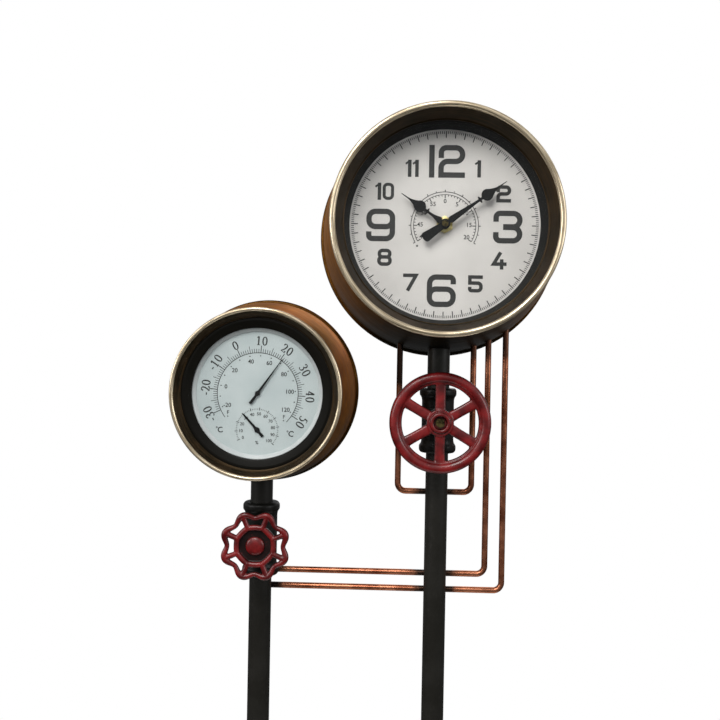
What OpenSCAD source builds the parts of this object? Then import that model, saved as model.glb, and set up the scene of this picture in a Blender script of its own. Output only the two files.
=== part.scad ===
// Two-post industrial-pipe garden clock: a clock and a thermometer with hygrometer on pipe stands.
// Millimetres. +Z is up and -Y is the front. The origin is the middle of the base plate's underside.

/* [Stand] */
// Distance between the two posts
post_spacing = 172; // [165:1:190]
// Outside diameter of the post pipe
pipe_d = 22; // [21:0.5:23]
// Wall of the post pipe
pipe_wall = 1.5; // [1:0.1:2]
// Width of the base plate
base_w = 380; // [360:5:420]
// Depth of the base plate
base_d = 250; // [230:5:300]
// Thickness of the base plate
base_t = 8; // [6:1:10]
// Anchor hole spacing across the base plate
anchor_x = 330; // [320:5:340]
// Anchor hole spacing from front to back
anchor_y = 200; // [190:5:210]
// Diameter of an anchor hole
anchor_d = 9; // [7:0.5:11]

/* [Heights] */
// Height of the clock's centre
clock_z = 1128; // [1100:1:1150]
// Height of the thermometer's centre
thermometer_z = 968.5; // [960:0.5:975]
// Height of the large handwheel's stem
tall_tee_z = 944; // [935:1:950]
// Height of the small handwheel's stem
short_tee_z = 824.5; // [820:0.5:830]

/* [Clock head] */
// Radius over the clock's front bead
clock_front_r = 104.9; // [104:0.1:106]
// Radius over the clock's rolled back rim
clock_back_r = 121.4; // [120:0.1:123]
// Distance of the clock's front bead in front of the post axis
clock_front = 81.3; // [80:0.1:83]
// Distance of the clock's back rim behind the post axis
clock_back = 43.7; // [42:0.1:45]
// Radius of the dial that can be seen
clock_dial_r = 88; // [87:0.5:89]

/* [Thermometer head] */
// Radius over the thermometer's front bead
thermometer_front_r = 80.5; // [80:0.1:81]
// Radius over the thermometer's rolled back rim
thermometer_back_r = 92.9; // [92:0.1:94]
// Distance of the thermometer's front bead in front of the post axis
thermometer_front = 54.6; // [54:0.1:56]
// Distance of the thermometer's back rim behind the post axis
thermometer_back = 40.4; // [40:0.1:42]
// Radius of the thermometer dial that can be seen
thermometer_dial_r = 60.5; // [60:0.5:61]

/* [Rods] */
// Diameter of the copper-coloured rods
rod_d = 6; // [5:0.5:7]
// Centreline radius of the rod bends
rod_bend_r = 8; // [7:0.5:10]
// Height of the U rod's bottom run
u_rod_z = 871.4; // [865:0.1:880]
// Height of the inner loop rod's cross run
inner_rod_z = 790; // [786:0.5:794]
// Height of the outer loop rod's cross run
outer_rod_z = 774; // [770:0.5:777]

/* [Handwheels] */
// Outside radius of the large handwheel
large_wheel_r = 47.8; // [46:0.1:50]
// Outside radius over the small handwheel's lobes
small_wheel_r = 34; // [33:0.1:35]

/* [Hidden] */

$fn = 96;
cut = 1;            // how far a cutting shape runs past the face it cuts
slip = 0.05;        // radial room between a shaft and its hole
tall_x = post_spacing / 2;
short_x = -post_spacing / 2;
pipe_r = pipe_d / 2;
pipe_bore_r = pipe_r - pipe_wall;

// Colours
black_iron = "#1e1e1c";
bronze = "#96602e";
dark_bronze = "#3a2c1c";
pale_gold = "#c8b48c";
copper = "#8c553c";
wheel_red = "#8c2323";
dial_white = "#d7d4d0";
brass = "#b08d3c";

// ---------- Shared shapes ----------

// Puts its children in a head's own frame: x to the right, y up, z out towards the viewer.
module at_clock() {
    translate([tall_x, 0, clock_z]) rotate([90, 0, 0]) children();
}

module at_thermometer() {
    translate([short_x, 0, thermometer_z]) rotate([90, 0, 0]) children();
}

module ring(outer_r, inner_r, low, high) {
    translate([0, 0, low]) difference() {
        cylinder(h = high - low, r = outer_r);
        translate([0, 0, -cut]) cylinder(h = high - low + 2 * cut, r = inner_r);
    }
}

module rod_between(low, high, r) {
    translate([0, 0, low]) cylinder(h = high - low, r = r);
}

// A slotted pan-head screw whose head's underside is at z = 0 and whose shaft runs down.
module pan_screw(head_r, head_h, shaft_r, shaft_l) {
    difference() {
        union() {
            cylinder(h = head_h, r = head_r);
            rod_between(-shaft_l, 0.01, shaft_r);
        }
        translate([-head_r - cut, -head_r / 8, head_h * 0.55]) cube([2 * (head_r + cut), head_r / 4, head_h]);
    }
}

module hexagon(across_flats, low, high) {
    translate([0, 0, low]) cylinder(h = high - low, r = across_flats / sqrt(3), $fn = 6);
}

// ---------- Stand ----------
flange_r = 40;
flange_t = 5;
flange_hub_r = 17;
flange_hub_h = 22;
flange_pcd_r = 29;
flange_screw_r = 2.5;
tee_r = 15.7;
collar_r = 18;
collar_h = 9;
tall_tee_half = 31.5;
short_tee_half = 35.5;
pipe_gap = 9;           // from a tee's centre to each pipe's end
branch_r = 12;
branch_y = 23;          // how far forward of the post axis the branch's mouth is
spigot_r = 9;
spigot_y = 14;          // where the packing nut's spigot ends, inside the branch
nut_flats = 20;
nut_h = 5;
stem_r = 3.5;
flange_top = base_t + flange_hub_h;

module base_plate() {
    color(black_iron) difference() {
        translate([-base_w / 2, -base_d / 2, 0]) cube([base_w, base_d, base_t]);
        for (x = [-1, 1], y = [-1, 1]) {
            translate([x * anchor_x / 2, y * anchor_y / 2, -cut]) cylinder(h = base_t + 2 * cut, d = anchor_d);
        }
        for (x = [tall_x, short_x]) {
            translate([x, 0, 0]) flange_hole_places() {
                translate([0, 0, -cut]) cylinder(h = base_t + 2 * cut, r = flange_screw_r + slip);
            }
        }
    }
}

module flange_hole_places() {
    for (a = [45:90:315]) rotate(a) translate([flange_pcd_r, 0, 0]) children();
}

module post_flange(x) {
    translate([x, 0, base_t]) difference() {
        union() {
            cylinder(h = flange_t, r = flange_r);
            cylinder(h = flange_hub_h, r = flange_hub_r);
        }
        translate([0, 0, 2]) cylinder(h = flange_hub_h, r = pipe_r + slip);
        translate([0, 0, -cut]) cylinder(h = flange_hub_h, r = pipe_bore_r);
        flange_hole_places() translate([0, 0, -cut]) cylinder(h = flange_t + 2 * cut, r = flange_screw_r + 0.25);
    }
}

module tall_post_flange() {
    color(black_iron) post_flange(tall_x);
}

module short_post_flange() {
    color(black_iron) post_flange(short_x);
}

module flange_screws() {
    color(black_iron) for (x = [tall_x, short_x]) {
        translate([x, 0, base_t + flange_t]) flange_hole_places() pan_screw(4.6, 3, flange_screw_r, 11);
    }
}

module pipe(x, low, high) {
    translate([x, 0, 0]) ring(pipe_r, pipe_bore_r, low, high);
}

module tall_post_lower_pipe() {
    color(black_iron) pipe(tall_x, base_t + 2, tall_tee_z - pipe_gap);
}

module tall_post_upper_pipe() {
    color(black_iron) pipe(tall_x, tall_tee_z + pipe_gap, clock_saddle_top + 4);
}

module short_post_lower_pipe() {
    color(black_iron) pipe(short_x, base_t + 2, short_tee_z - pipe_gap);
}

module short_post_upper_pipe() {
    color(black_iron) pipe(short_x, short_tee_z + pipe_gap, thermometer_saddle_top + 4);
}

// A bead collar: a band with a half-round edge.
module bead_collar(r, h) {
    rotate_extrude() translate([r - h / 2, 0]) circle(d = h, $fn = 32);
    translate([0, 0, -h / 2]) cylinder(h = h, r = r - h / 2);
}

module tee(x, z, half) {
    translate([x, 0, z]) difference() {
        union() {
            cylinder(h = 2 * half, r = tee_r, center = true);
            for (side = [-1, 1]) translate([0, 0, side * (half - collar_h / 2)]) bead_collar(collar_r, collar_h);
            rotate([90, 0, 0]) cylinder(h = branch_y, r = branch_r);
            translate([0, -branch_y + 2.5, 0]) rotate([90, 0, 0]) bead_collar(branch_r + 2, 5);
        }
        for (side = [-1, 1]) translate([0, 0, side * (half + pipe_gap) / 2]) {
            cylinder(h = half - pipe_gap, r = pipe_r + slip, center = true);
        }
        cylinder(h = 2 * half + 2, r = pipe_bore_r, center = true);
        rotate([90, 0, 0]) cylinder(h = branch_y + cut, r = spigot_r + slip);
    }
}

module tall_post_tee() {
    color(black_iron) tee(tall_x, tall_tee_z, tall_tee_half);
}

module short_post_tee() {
    color(black_iron) tee(short_x, short_tee_z, short_tee_half);
}

module packing_nut(x, z) {
    translate([x, 0, z]) rotate([90, 0, 0]) difference() {
        union() {
            hexagon(nut_flats, branch_y, branch_y + nut_h);
            rod_between(spigot_y, branch_y + 0.01, spigot_r);
        }
        rod_between(spigot_y - cut, branch_y + nut_h + cut, stem_r + slip);
    }
}

module tall_packing_nut() {
    color(black_iron) packing_nut(tall_x, tall_tee_z);
}

module short_packing_nut() {
    color(black_iron) packing_nut(short_x, short_tee_z);
}

// ---------- Copper-coloured rods ----------
rod_r = rod_d / 2;
rod_y = pipe_r + rod_r;             // the rods lie against the backs of the posts
u_left_x = tall_x - 37.8;
u_right_x = tall_x + 35.5;
inner_rod_x = tall_x + 50.1;
outer_rod_x = tall_x + 67.2;
rod_top_in = 8;                     // how far a rod's end runs inside the case wall
rod_z_top = function (x) clock_z - sqrt(pow(clock_wall_at_rods, 2) - pow(x - tall_x, 2)) + rod_top_in;

module upright(x, low, high) {
    translate([x, rod_y, low]) cylinder(h = high - low, r = rod_r);
}

module level(z, low_x, high_x) {
    translate([low_x, rod_y, z]) rotate([0, 90, 0]) cylinder(h = high_x - low_x, r = rod_r);
}

// A quarter bend that joins a level run to an upright one above it; side is +1 where the
// level run is to the left of the upright, and -1 where it is to the right.
module corner_bend(x, z, side) {
    translate([x - side * rod_bend_r, rod_y, z + rod_bend_r]) rotate([90, 0, 0]) {
        rotate(side > 0 ? -90 : 180) rotate_extrude(angle = 90) translate([rod_bend_r, 0]) circle(r = rod_r, $fn = 48);
    }
}

module u_rod() {
    color(copper) union() {
        upright(u_left_x, u_rod_z + rod_bend_r, rod_z_top(u_left_x));
        upright(u_right_x, u_rod_z + rod_bend_r, rod_z_top(u_right_x));
        level(u_rod_z, u_left_x + rod_bend_r, u_right_x - rod_bend_r);
        corner_bend(u_left_x, u_rod_z, -1);
        corner_bend(u_right_x, u_rod_z, 1);
    }
}

module loop_rod(x, z, end_x) {
    upright(x, z + rod_bend_r, rod_z_top(x));
    level(z, end_x, x - rod_bend_r);
    corner_bend(x, z, 1);
}

module inner_loop_rod() {
    color(copper) loop_rod(inner_rod_x, inner_rod_z, short_x + 14.4);
}

module outer_loop_rod() {
    color(copper) loop_rod(outer_rod_x, outer_rod_z, short_x);
}

// ---------- Round cases ----------
case_wall = 1.2;
case_bulge = 2.2;       // how far the side wall bows out half way along
rim_roll_r = 2.5;
clock_bead_r = 2.8;
thermometer_bead_r = 2;
wall_steps = 10;
flange_in = 11;         // width of the flange inside the back rim
cover_t = 1.2;
saddle_w = 40;
saddle_d = 28;
saddle_h = 13;

// Radius of the outside wall at t, from the front at 0 to the back at 1
function wall_radius(r0, r1, t) = r0 + (r1 - r0) * t + 4 * case_bulge * t * (1 - t);

// Points along the wall from front to back, moved in by inset
function wall_line(r0, r1, z0, z1, inset) = [
    for (i = [0:wall_steps])
        let (t = i / wall_steps)
        [wall_radius(r0, r1, t) - inset, z0 + (z1 - z0) * t]
];

function reversed(list) = [for (i = [len(list) - 1:-1:0]) list[i]];

// Measures of a case: [front wall radius, back wall radius, front z, back z]
clock_wall = [
    clock_front_r - 1.6,
    clock_back_r - rim_roll_r - 0.4,
    clock_front - 2 * clock_bead_r - slip,
    -clock_back + rim_roll_r
];
thermometer_wall = [
    thermometer_front_r - 1.5,
    thermometer_back_r - rim_roll_r - 0.4,
    thermometer_front - 2 * thermometer_bead_r - slip,
    -thermometer_back + rim_roll_r
];
function radius_at(wall, z) = wall_radius(wall[0], wall[1], (wall[2] - z) / (wall[2] - wall[3]));
clock_wall_at_rods = radius_at(clock_wall, -rod_y);
clock_saddle_top = clock_z - radius_at(clock_wall, 0) + case_wall + saddle_h;
thermometer_saddle_top = thermometer_z - radius_at(thermometer_wall, 0) + case_wall + saddle_h;

module case_shell(wall, back_r, back_z) {
    outside = wall_line(wall[0], wall[1], wall[2], wall[3], 0);
    inside = wall_line(wall[0], wall[1], wall[2], wall[3], case_wall);
    rotate_extrude() polygon(concat(outside, reversed(inside)));
    rotate_extrude() translate([back_r - rim_roll_r, back_z + rim_roll_r]) circle(r = rim_roll_r, $fn = 32);
    difference() {
        ring(wall[1] - 0.5, wall[1] - flange_in, wall[3] + 2, wall[3] + 2 + case_wall);
        cover_screw_places(wall) translate([0, 0, wall[3]]) cylinder(h = 6, r = 1.6);
    }
}

module cover_screw_places(wall) {
    for (a = [45:90:315]) rotate(a) translate([wall[1] - flange_in + 4, 0, 0]) children();
}

// Everything inside a case's wall, less a hair
module case_room(wall) {
    line = wall_line(wall[0], wall[1], wall[2], wall[3], case_wall + slip);
    rotate_extrude() polygon(concat([[0, wall[2]]], line, [[0, wall[3]]]));
}

module case_back_cover(wall) {
    top = wall[3] + 2;
    difference() {
        translate([0, 0, top - cover_t]) cylinder(h = cover_t, r = wall[1] - 4.5);
        cover_screw_places(wall) translate([0, 0, top - cover_t - cut]) cylinder(h = cover_t + 2 * cut, r = 1.7);
    }
}

module case_back_screws(wall) {
    cover_screw_places(wall) translate([0, 0, wall[3] + 2 - cover_t]) rotate([180, 0, 0]) pan_screw(2.9, 1.8, 1.5, 5);
}

module saddle(wall, bore_z) {
    difference() {
        intersection() {
            case_room(wall);
            translate([-saddle_w / 2, -200, -saddle_d / 2]) {
                cube([saddle_w, 200 - radius_at(wall, 0) + case_wall + saddle_h, saddle_d]);
            }
        }
        rotate([-90, 0, 0]) translate([0, 0, -200]) cylinder(h = 200, r = pipe_r + slip);
        saddle_screw_hole(wall);
    }
}

saddle_screw_r = 2.5;
saddle_screw_drop = 6;      // from the saddle's top down to its set screw

module saddle_screw_hole(wall) {
    saddle_screw_place(wall) translate([0, 0, pipe_r]) cylinder(h = 20, r = saddle_screw_r + slip);
}

// The set screw comes in from the back of the case.
module saddle_screw_place(wall) {
    y = -radius_at(wall, 0) + case_wall + saddle_h - saddle_screw_drop;
    translate([0, y, 0]) rotate([180, 0, 0]) children();
}

module saddle_screw(wall) {
    saddle_screw_place(wall) difference() {
        rod_between(pipe_r + 0.02, pipe_r + 7, saddle_screw_r);
        hexagon(2.5, pipe_r + 4.5, pipe_r + 8);
    }
}

module clock_case() {
    color(bronze) difference() {
        at_clock() case_shell(clock_wall, clock_back_r, -clock_back);
        translate([tall_x, 0, clock_z - clock_back_r - cut]) cylinder(h = 40, r = pipe_r + slip);
        for (x = [u_left_x, u_right_x, inner_rod_x, outer_rod_x]) {
            translate([x, rod_y, clock_z - clock_back_r - cut]) cylinder(h = clock_back_r, r = rod_r + slip);
        }
    }
}

module clock_back_cover() {
    color(black_iron) at_clock() case_back_cover(clock_wall);
}

module clock_back_screws() {
    color(black_iron) at_clock() case_back_screws(clock_wall);
}

module clock_saddle() {
    color(black_iron) at_clock() saddle(clock_wall);
}

module saddle_set_screws() {
    color(black_iron) {
        at_clock() saddle_screw(clock_wall);
        at_thermometer() saddle_screw(thermometer_wall);
    }
}

// ---------- Clock front ----------
step_z = clock_front - 20;          // back of the funnel, where the glass sits
glass_t = 2;
dial_face_z = clock_front - 35;
dial_t = 1.2;
seat_r = 97;                        // radius of the glass and of the dial plate
skirt_t = 1.2;
dial_hole_r = 4.3;
dial_screw_r = 93.5;

module clock_bezel() {
    color(pale_gold) at_clock() {
        rotate_extrude() translate([clock_front_r - clock_bead_r, clock_front - clock_bead_r]) {
            circle(r = clock_bead_r, $fn = 32);
        }
        rotate_extrude() polygon([
            [clock_front_r - 4.6, clock_front - 4.4],
            [clock_front_r - 5.2, clock_front - 2.2],
            [93.5, step_z + 1.5],
            [92.2, step_z + 1.2],
            [92.2, step_z],
            [seat_r + slip, step_z],
            [seat_r + slip, dial_face_z - dial_t],
            [seat_r + skirt_t, dial_face_z - dial_t],
            [seat_r + skirt_t, step_z + 4]
        ]);
    }
}

module clock_glass() {
    color([0.8, 0.9, 0.92, 0.35]) at_clock() rod_between(step_z - glass_t, step_z, seat_r);
}

module clock_spacer_ring() {
    low = dial_face_z;
    high = step_z - glass_t;
    color("#161614") at_clock() difference() {
        rotate_extrude() polygon([[92.6, high], [seat_r, high], [seat_r, low], [clock_dial_r, low]]);
        dial_screw_places() rod_between(low - cut, low + 6, 1.25);
    }
}

module dial_screw_places() {
    for (a = [0:90:270]) rotate(a) translate([dial_screw_r, 0, 0]) children();
}

module clock_dial() {
    color(dial_white) at_clock() difference() {
        rod_between(dial_face_z - dial_t, dial_face_z, seat_r);
        rod_between(dial_face_z - dial_t - cut, dial_face_z + cut, dial_hole_r);
        dial_screw_places() rod_between(dial_face_z - dial_t - cut, dial_face_z + cut, 1.4);
    }
}

module dial_screws() {
    color("silver") at_clock() dial_screw_places() {
        translate([0, 0, dial_face_z - dial_t]) rotate([180, 0, 0]) pan_screw(2.4, 1.5, 1.2, 6);
    }
}

// ---------- Quartz movement ----------
movement_w = 56;
movement_wall = 1.2;
movement_front_z = dial_face_z - dial_t;
movement_split_z = movement_front_z - 10;
movement_back_z = movement_front_z - 16;
bush_r = 4.1;
movement_nut_flats = 14;
movement_nut_h = 2.4;
hour_pipe_r = 2.5;
arbor_r = 1.6;
fit = 0.07;             // radial running room of the small shafts

// Motion work: the arbor's pinion turns the minute wheel, whose own pinion turns the hour wheel.
arbor_teeth = 12;
minute_wheel_teeth = 36;
minute_pinion_teeth = 10;
hour_wheel_teeth = 40;
wheel_spacing = 10;
fast_module = 2 * wheel_spacing / (arbor_teeth + minute_wheel_teeth);
slow_module = 2 * wheel_spacing / (minute_pinion_teeth + hour_wheel_teeth);
minute_wheel_y = wheel_spacing;
knob_y = 2 * wheel_spacing;
fast_low = movement_split_z - 1.2;
fast_high = movement_split_z + 0.1;
slow_low = fast_high + 1.2;
slow_high = slow_low + 1.3;

function polar(r, a) = [r * cos(a), r * sin(a)];

// A spur gear whose first tooth points along angle; the teeth are slim, for running room.
module gear(teeth, size, low, high, angle) {
    pitch_r = teeth * size / 2;
    step = 360 / teeth;
    points = [
        for (i = [0:teeth - 1])
            for (corner = [[-0.27, -1.2], [-0.08, 0.75], [0.08, 0.75], [0.27, -1.2]])
                polar(pitch_r + corner[1] * size, angle + (i + corner[0]) * step)
    ];
    translate([0, 0, low]) linear_extrude(height = high - low) polygon(points);
}

module movement_shell(low, high, floor_low) {
    w = movement_w;
    room = w - 2 * movement_wall;
    difference() {
        translate([-w / 2, -w / 2, low]) cube([w, w, high - low]);
        translate([-room / 2, -room / 2, floor_low]) cube([room, room, high - low - movement_wall + cut]);
    }
}

module movement_front_case() {
    wall_in = movement_front_z - movement_wall;
    color("#20201e") at_clock() difference() {
        union() {
            movement_shell(movement_split_z, movement_front_z, movement_split_z - cut);
            rod_between(slow_high + 1, dial_face_z + 4, bush_r);
            translate([0, minute_wheel_y, 0]) rod_between(fast_low - 1, wall_in + 0.01, 0.8);
            translate([0, knob_y, 0]) rod_between(fast_high + 2, wall_in + 0.01, 2.4);
        }
        rod_between(slow_high, dial_face_z + 5, hour_pipe_r + fit);
        translate([0, knob_y, 0]) rod_between(fast_high, fast_high + 5, 1 + fit);
    }
}

battery_r = 7.1;
battery_l = 50;
battery_y = -19.5;
battery_z = movement_back_z + 7.6;

module movement_rear_case() {
    color("#20201e") at_clock() difference() {
        union() {
            movement_shell(movement_back_z, movement_split_z, movement_back_z + movement_wall);
            rod_between(movement_back_z + movement_wall - 0.01, fast_low - 1, 2.6);
        }
        translate([-26, battery_y - battery_r - 0.4, movement_back_z - cut]) {
            cube([52, 2 * battery_r + 0.8, movement_wall + 2 * cut]);
        }
        rod_between(movement_back_z + movement_wall, fast_low, 1 + fit);
        translate([0, knob_y, 0]) rod_between(movement_back_z - cut, movement_split_z, 1.5 + fit);
    }
}

module movement_nut() {
    color(brass) at_clock() difference() {
        hexagon(movement_nut_flats, dial_face_z, dial_face_z + movement_nut_h);
        rod_between(dial_face_z - cut, dial_face_z + movement_nut_h + cut, bush_r + slip);
    }
}

module motor_coil() {
    color("#a5602a") at_clock() translate([-18, 0, movement_split_z - 0.2]) rotate([-90, 0, 0]) {
        rod_between(2, 22, 3.4);
        rod_between(1, 2, 4.2);
        rod_between(22, 23, 4.2);
    }
}

module motor_stator() {
    z = movement_split_z + 4.1;
    color("silver") at_clock() difference() {
        translate([-24, -1, z]) cube([14, 26, 1]);
        translate([-15, 12, z - cut]) cylinder(h = 3, r = 3.2);
    }
}

module battery() {
    color("#5a5a5a") at_clock() translate([0, battery_y, battery_z]) rotate([0, 90, 0]) {
        rod_between(-battery_l / 2, battery_l / 2 - 1.2, battery_r);
        rod_between(battery_l / 2 - 1.21, battery_l / 2, 2.7);
    }
}

module battery_contacts() {
    color("silver") at_clock() for (side = [-1, 1]) {
        translate([side * (battery_l / 2 + 0.4) - 0.3, battery_y - 4, battery_z - 5]) cube([0.6, 8, 10]);
    }
}

// ---------- Hands and their wheels ----------
hour_angle = 304.5;         // clockwise from twelve
minute_angle = 54.7;
hour_hand_z = dial_face_z + 4.6;
minute_hand_z = dial_face_z + 6.6;
hand_t = 0.5;
hand_bulb_r = 5.2;

// Turns a shape that points to twelve so that it points clockwise by angle
module clock_turn(angle) {
    rotate(-angle) children();
}

module hand_piece(z) {
    translate([0, 0, z]) linear_extrude(height = hand_t) children();
}

// A spade hand: tapered tail, round hub, petal, cross collar, bulb and a point drawn out to a needle
module hand_solid(z, hole_r, tip, bulb, tail, base_half, tail_half) {
    waist = 1.1;
    neck = 1.6;
    petal_y = 8;
    petal_half = 3.1;
    collar_low = bulb - 10;
    collar_mid = collar_low + 1;
    difference() {
        union() {
            hand_piece(z) circle(r = 5.4, $fn = 48);
            hand_piece(z) polygon([[-base_half, 0], [base_half, 0], [tail_half, -tail], [-tail_half, -tail]]);
            hand_piece(z) polygon([
                [-neck, 0], [-neck, petal_y - 3], [-petal_half, petal_y], [-waist, collar_mid],
                [waist, collar_mid], [petal_half, petal_y], [neck, petal_y - 3], [neck, 0]
            ]);
            hand_piece(z) translate([-3.4, collar_low]) square([6.8, 2.2]);
            hand_piece(z) translate([-2.2, collar_mid]) square([4.4, 6]);
            hand_piece(z) translate([0, bulb]) circle(r = hand_bulb_r, $fn = 48);
            hand_piece(z) polygon([
                [-4.2, bulb + 2.8], [-1.3, bulb + 10], [-0.5, bulb + 15], [-0.3, tip],
                [0.3, tip], [0.5, bulb + 15], [1.3, bulb + 10], [4.2, bulb + 2.8]
            ]);
        }
        rod_between(z - cut, z + hand_t + cut, hole_r);
    }
}

module minute_hand() {
    color("#141414") at_clock() clock_turn(minute_angle) {
        hand_solid(minute_hand_z, arbor_r + 0.01, 68, 46.5, 24.5, 1.8, 4.4);
    }
}

module hour_hand() {
    color("#141414") at_clock() clock_turn(hour_angle) {
        hand_solid(hour_hand_z, hour_pipe_r + 0.01, 49, 28, 5, 1.8, 1.8);
    }
}

module hand_nut() {
    low = minute_hand_z + hand_t;
    color(brass) at_clock() difference() {
        hexagon(5.5, low, low + 1.6);
        rod_between(low - cut, low + 2, arbor_r + 0.01);
    }
}

module centre_arbor() {
    color(brass) at_clock() {
        rod_between(fast_low, minute_hand_z + hand_t + 2.2, arbor_r);
        rod_between(movement_back_z + 2, fast_low + 0.01, 1);
        gear(arbor_teeth, fast_module, fast_low, fast_high, 90);
    }
}

module hour_wheel() {
    color(brass) at_clock() difference() {
        union() {
            rod_between(slow_low, hour_hand_z + 1, hour_pipe_r);
            gear(hour_wheel_teeth, slow_module, slow_low, slow_high, 90);
        }
        rod_between(slow_low - cut, hour_hand_z + 2, arbor_r + fit);
    }
}

module minute_wheel() {
    color("#d9d6cf") at_clock() translate([0, minute_wheel_y, 0]) difference() {
        union() {
            gear(minute_wheel_teeth, fast_module, fast_low, fast_high, 90 + 180 / minute_wheel_teeth);
            rod_between(fast_high - 0.01, slow_low, 1.4);
            gear(minute_pinion_teeth, slow_module, slow_low - 0.2, slow_high + 0.2, 90 + 180 / minute_pinion_teeth + 180);
        }
        rod_between(fast_low - cut, slow_high + 1, 0.8 + fit);
    }
}

module setting_knob() {
    knob_low = movement_back_z - 7;
    color("#20201e") at_clock() translate([0, knob_y, 0]) {
        rod_between(movement_back_z - 2, fast_low + 0.01, 1.5);
        gear(arbor_teeth, fast_module, fast_low, fast_high, 90 + 180);
        rod_between(fast_high - 0.01, fast_high + 4.5, 1);
        gear(24, 0.6, knob_low, movement_back_z - 2, 0);
    }
}

// ---------- Thermometer front ----------
insert_r = 71;
lens_z = thermometer_front - 12;        // front face of the lens
lens_t = 1.5;
lens_r = 63.5;
therm_dial_z = lens_z - lens_t - 3.1;
therm_dial_t = 1;
cup_r = 66;
cup_depth = 22;
cup_wall = 1.2;
humidity_y = -34.4;
pin_r = 0.8;

module thermometer_case() {
    color(bronze) difference() {
        at_thermometer() case_shell(thermometer_wall, thermometer_back_r, -thermometer_back);
        translate([short_x, 0, thermometer_z - thermometer_back_r - cut]) cylinder(h = 40, r = pipe_r + slip);
    }
}

module thermometer_back_cover() {
    color(black_iron) at_thermometer() case_back_cover(thermometer_wall);
}

module thermometer_back_screws() {
    color(black_iron) at_thermometer() case_back_screws(thermometer_wall);
}

module thermometer_saddle() {
    color(black_iron) at_thermometer() saddle(thermometer_wall);
}

module thermometer_bezel() {
    bead = thermometer_bead_r;
    back = thermometer_front - 12;
    color(pale_gold) at_thermometer() {
        rotate_extrude() translate([thermometer_front_r - bead, thermometer_front - bead]) circle(r = bead, $fn = 32);
        rotate_extrude() polygon([
            [thermometer_front_r - 3.4, thermometer_front - 3.2],
            [thermometer_front_r - 3.9, thermometer_front - 1.7],
            [insert_r + 1.2, thermometer_front - 8],
            [insert_r + slip, thermometer_front - 8.4],
            [insert_r + slip, back - 8],
            [insert_r + 1.3, back - 8],
            [insert_r + 1.3, back]
        ]);
    }
}

module insert_ring() {
    color("#141412") at_thermometer() rotate_extrude() polygon([
        [insert_r, thermometer_front - 9.5],
        [thermometer_dial_r + 1, lens_z + 0.6],
        [thermometer_dial_r + 1, lens_z],
        [lens_r + slip, lens_z],
        [lens_r + slip, lens_z - lens_t],
        [cup_r + slip, lens_z - lens_t],
        [cup_r + slip, lens_z - 10],
        [insert_r, lens_z - 10]
    ]);
}

module insert_lens() {
    color([0.85, 0.92, 0.95, 0.35]) at_thermometer() rod_between(lens_z - lens_t, lens_z, lens_r);
}

module dial_lip_ring() {
    color("#d8dcdc") at_thermometer() rotate_extrude() polygon([
        [thermometer_dial_r + 0.6, lens_z - lens_t],
        [lens_r + 0.5, lens_z - lens_t],
        [lens_r + 0.5, therm_dial_z],
        [58, therm_dial_z],
        [58, therm_dial_z + 0.6]
    ]);
}

module pointer_places() {
    children();
    translate([0, humidity_y, 0]) children();
}

module thermometer_dial() {
    color("#c3cccc") at_thermometer() difference() {
        rod_between(therm_dial_z - therm_dial_t, therm_dial_z, lens_r + 0.5);
        pointer_places() rod_between(therm_dial_z - 2, therm_dial_z + cut, 1.7);
    }
}

module insert_cup() {
    front = lens_z - lens_t;
    back = therm_dial_z - cup_depth;
    color("#2a2a2a") at_thermometer() difference() {
        rotate_extrude() polygon([
            [0, back],
            [cup_r - 4, back],
            [cup_r, back + 5],
            [cup_r, front],
            [lens_r + 0.5 + slip, front],
            [lens_r + 0.5 + slip, therm_dial_z - therm_dial_t],
            [cup_r - 5, therm_dial_z - therm_dial_t],
            [cup_r - 5, back + cup_wall],
            [0, back + cup_wall]
        ]);
        pointer_places() rod_between(back - cut, back + cup_wall + cut, 1.6 + slip);
    }
}

module pointer_bushes() {
    back = therm_dial_z - cup_depth;
    color(brass) at_thermometer() pointer_places() difference() {
        union() {
            rod_between(back, back + cup_wall, 1.6);
            rod_between(back + cup_wall, back + 4, 2.4);
        }
        rod_between(back + 1, back + 5, pin_r + slip);
    }
}

// A flat spiral spring strip, from an inner turn that clears the arbor out to its fixed end.
module spiral_strip(inner_r, outer_r, turns, thickness, low, high) {
    count = turns * 20;
    function at(i, side) = polar(inner_r + (outer_r - inner_r) * i / count + side * thickness / 2, 360 * turns * i / count);
    inner_edge = [for (i = [0:count]) at(i, -1)];
    outer_edge = [for (i = [0:count]) at(i, 1)];
    translate([0, 0, low]) linear_extrude(height = high - low) polygon(concat(outer_edge, reversed(inner_edge)));
}

coil_low = therm_dial_z - cup_depth + 6;
coil_high = coil_low + 5;

module coil_with_post(outer_r, turns) {
    spiral_strip(1.7, outer_r, turns, 0.4, coil_low, coil_high);
    translate([outer_r + 0.9, 0, 0]) rod_between(therm_dial_z - cup_depth + cup_wall, coil_high, 1);
}

module thermometer_coil() {
    color("#a98a4a") at_thermometer() coil_with_post(11, 6);
}

module humidity_coil() {
    color("#b9a06a") at_thermometer() translate([0, humidity_y, 0]) coil_with_post(7, 4);
}

module pointer(z, length, tail, half, hub_r) {
    rod_between(therm_dial_z - cup_depth + 1.5, z + 1, pin_r);
    translate([0, 0, z]) linear_extrude(height = 0.4) {
        polygon([[-half, 0], [-0.25, length], [0.25, length], [half, 0], [0.7, -tail], [-0.7, -tail]]);
    }
    rod_between(z, z + 0.9, hub_r);
}

temperature_angle = 35.2;       // clockwise from the top
humidity_angle = -42;

module thermometer_pointer() {
    color("#141414") at_thermometer() clock_turn(temperature_angle) {
        pointer(therm_dial_z + 1.5, 40.6, 11.9, 1.1, 2.8);
    }
}

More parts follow.
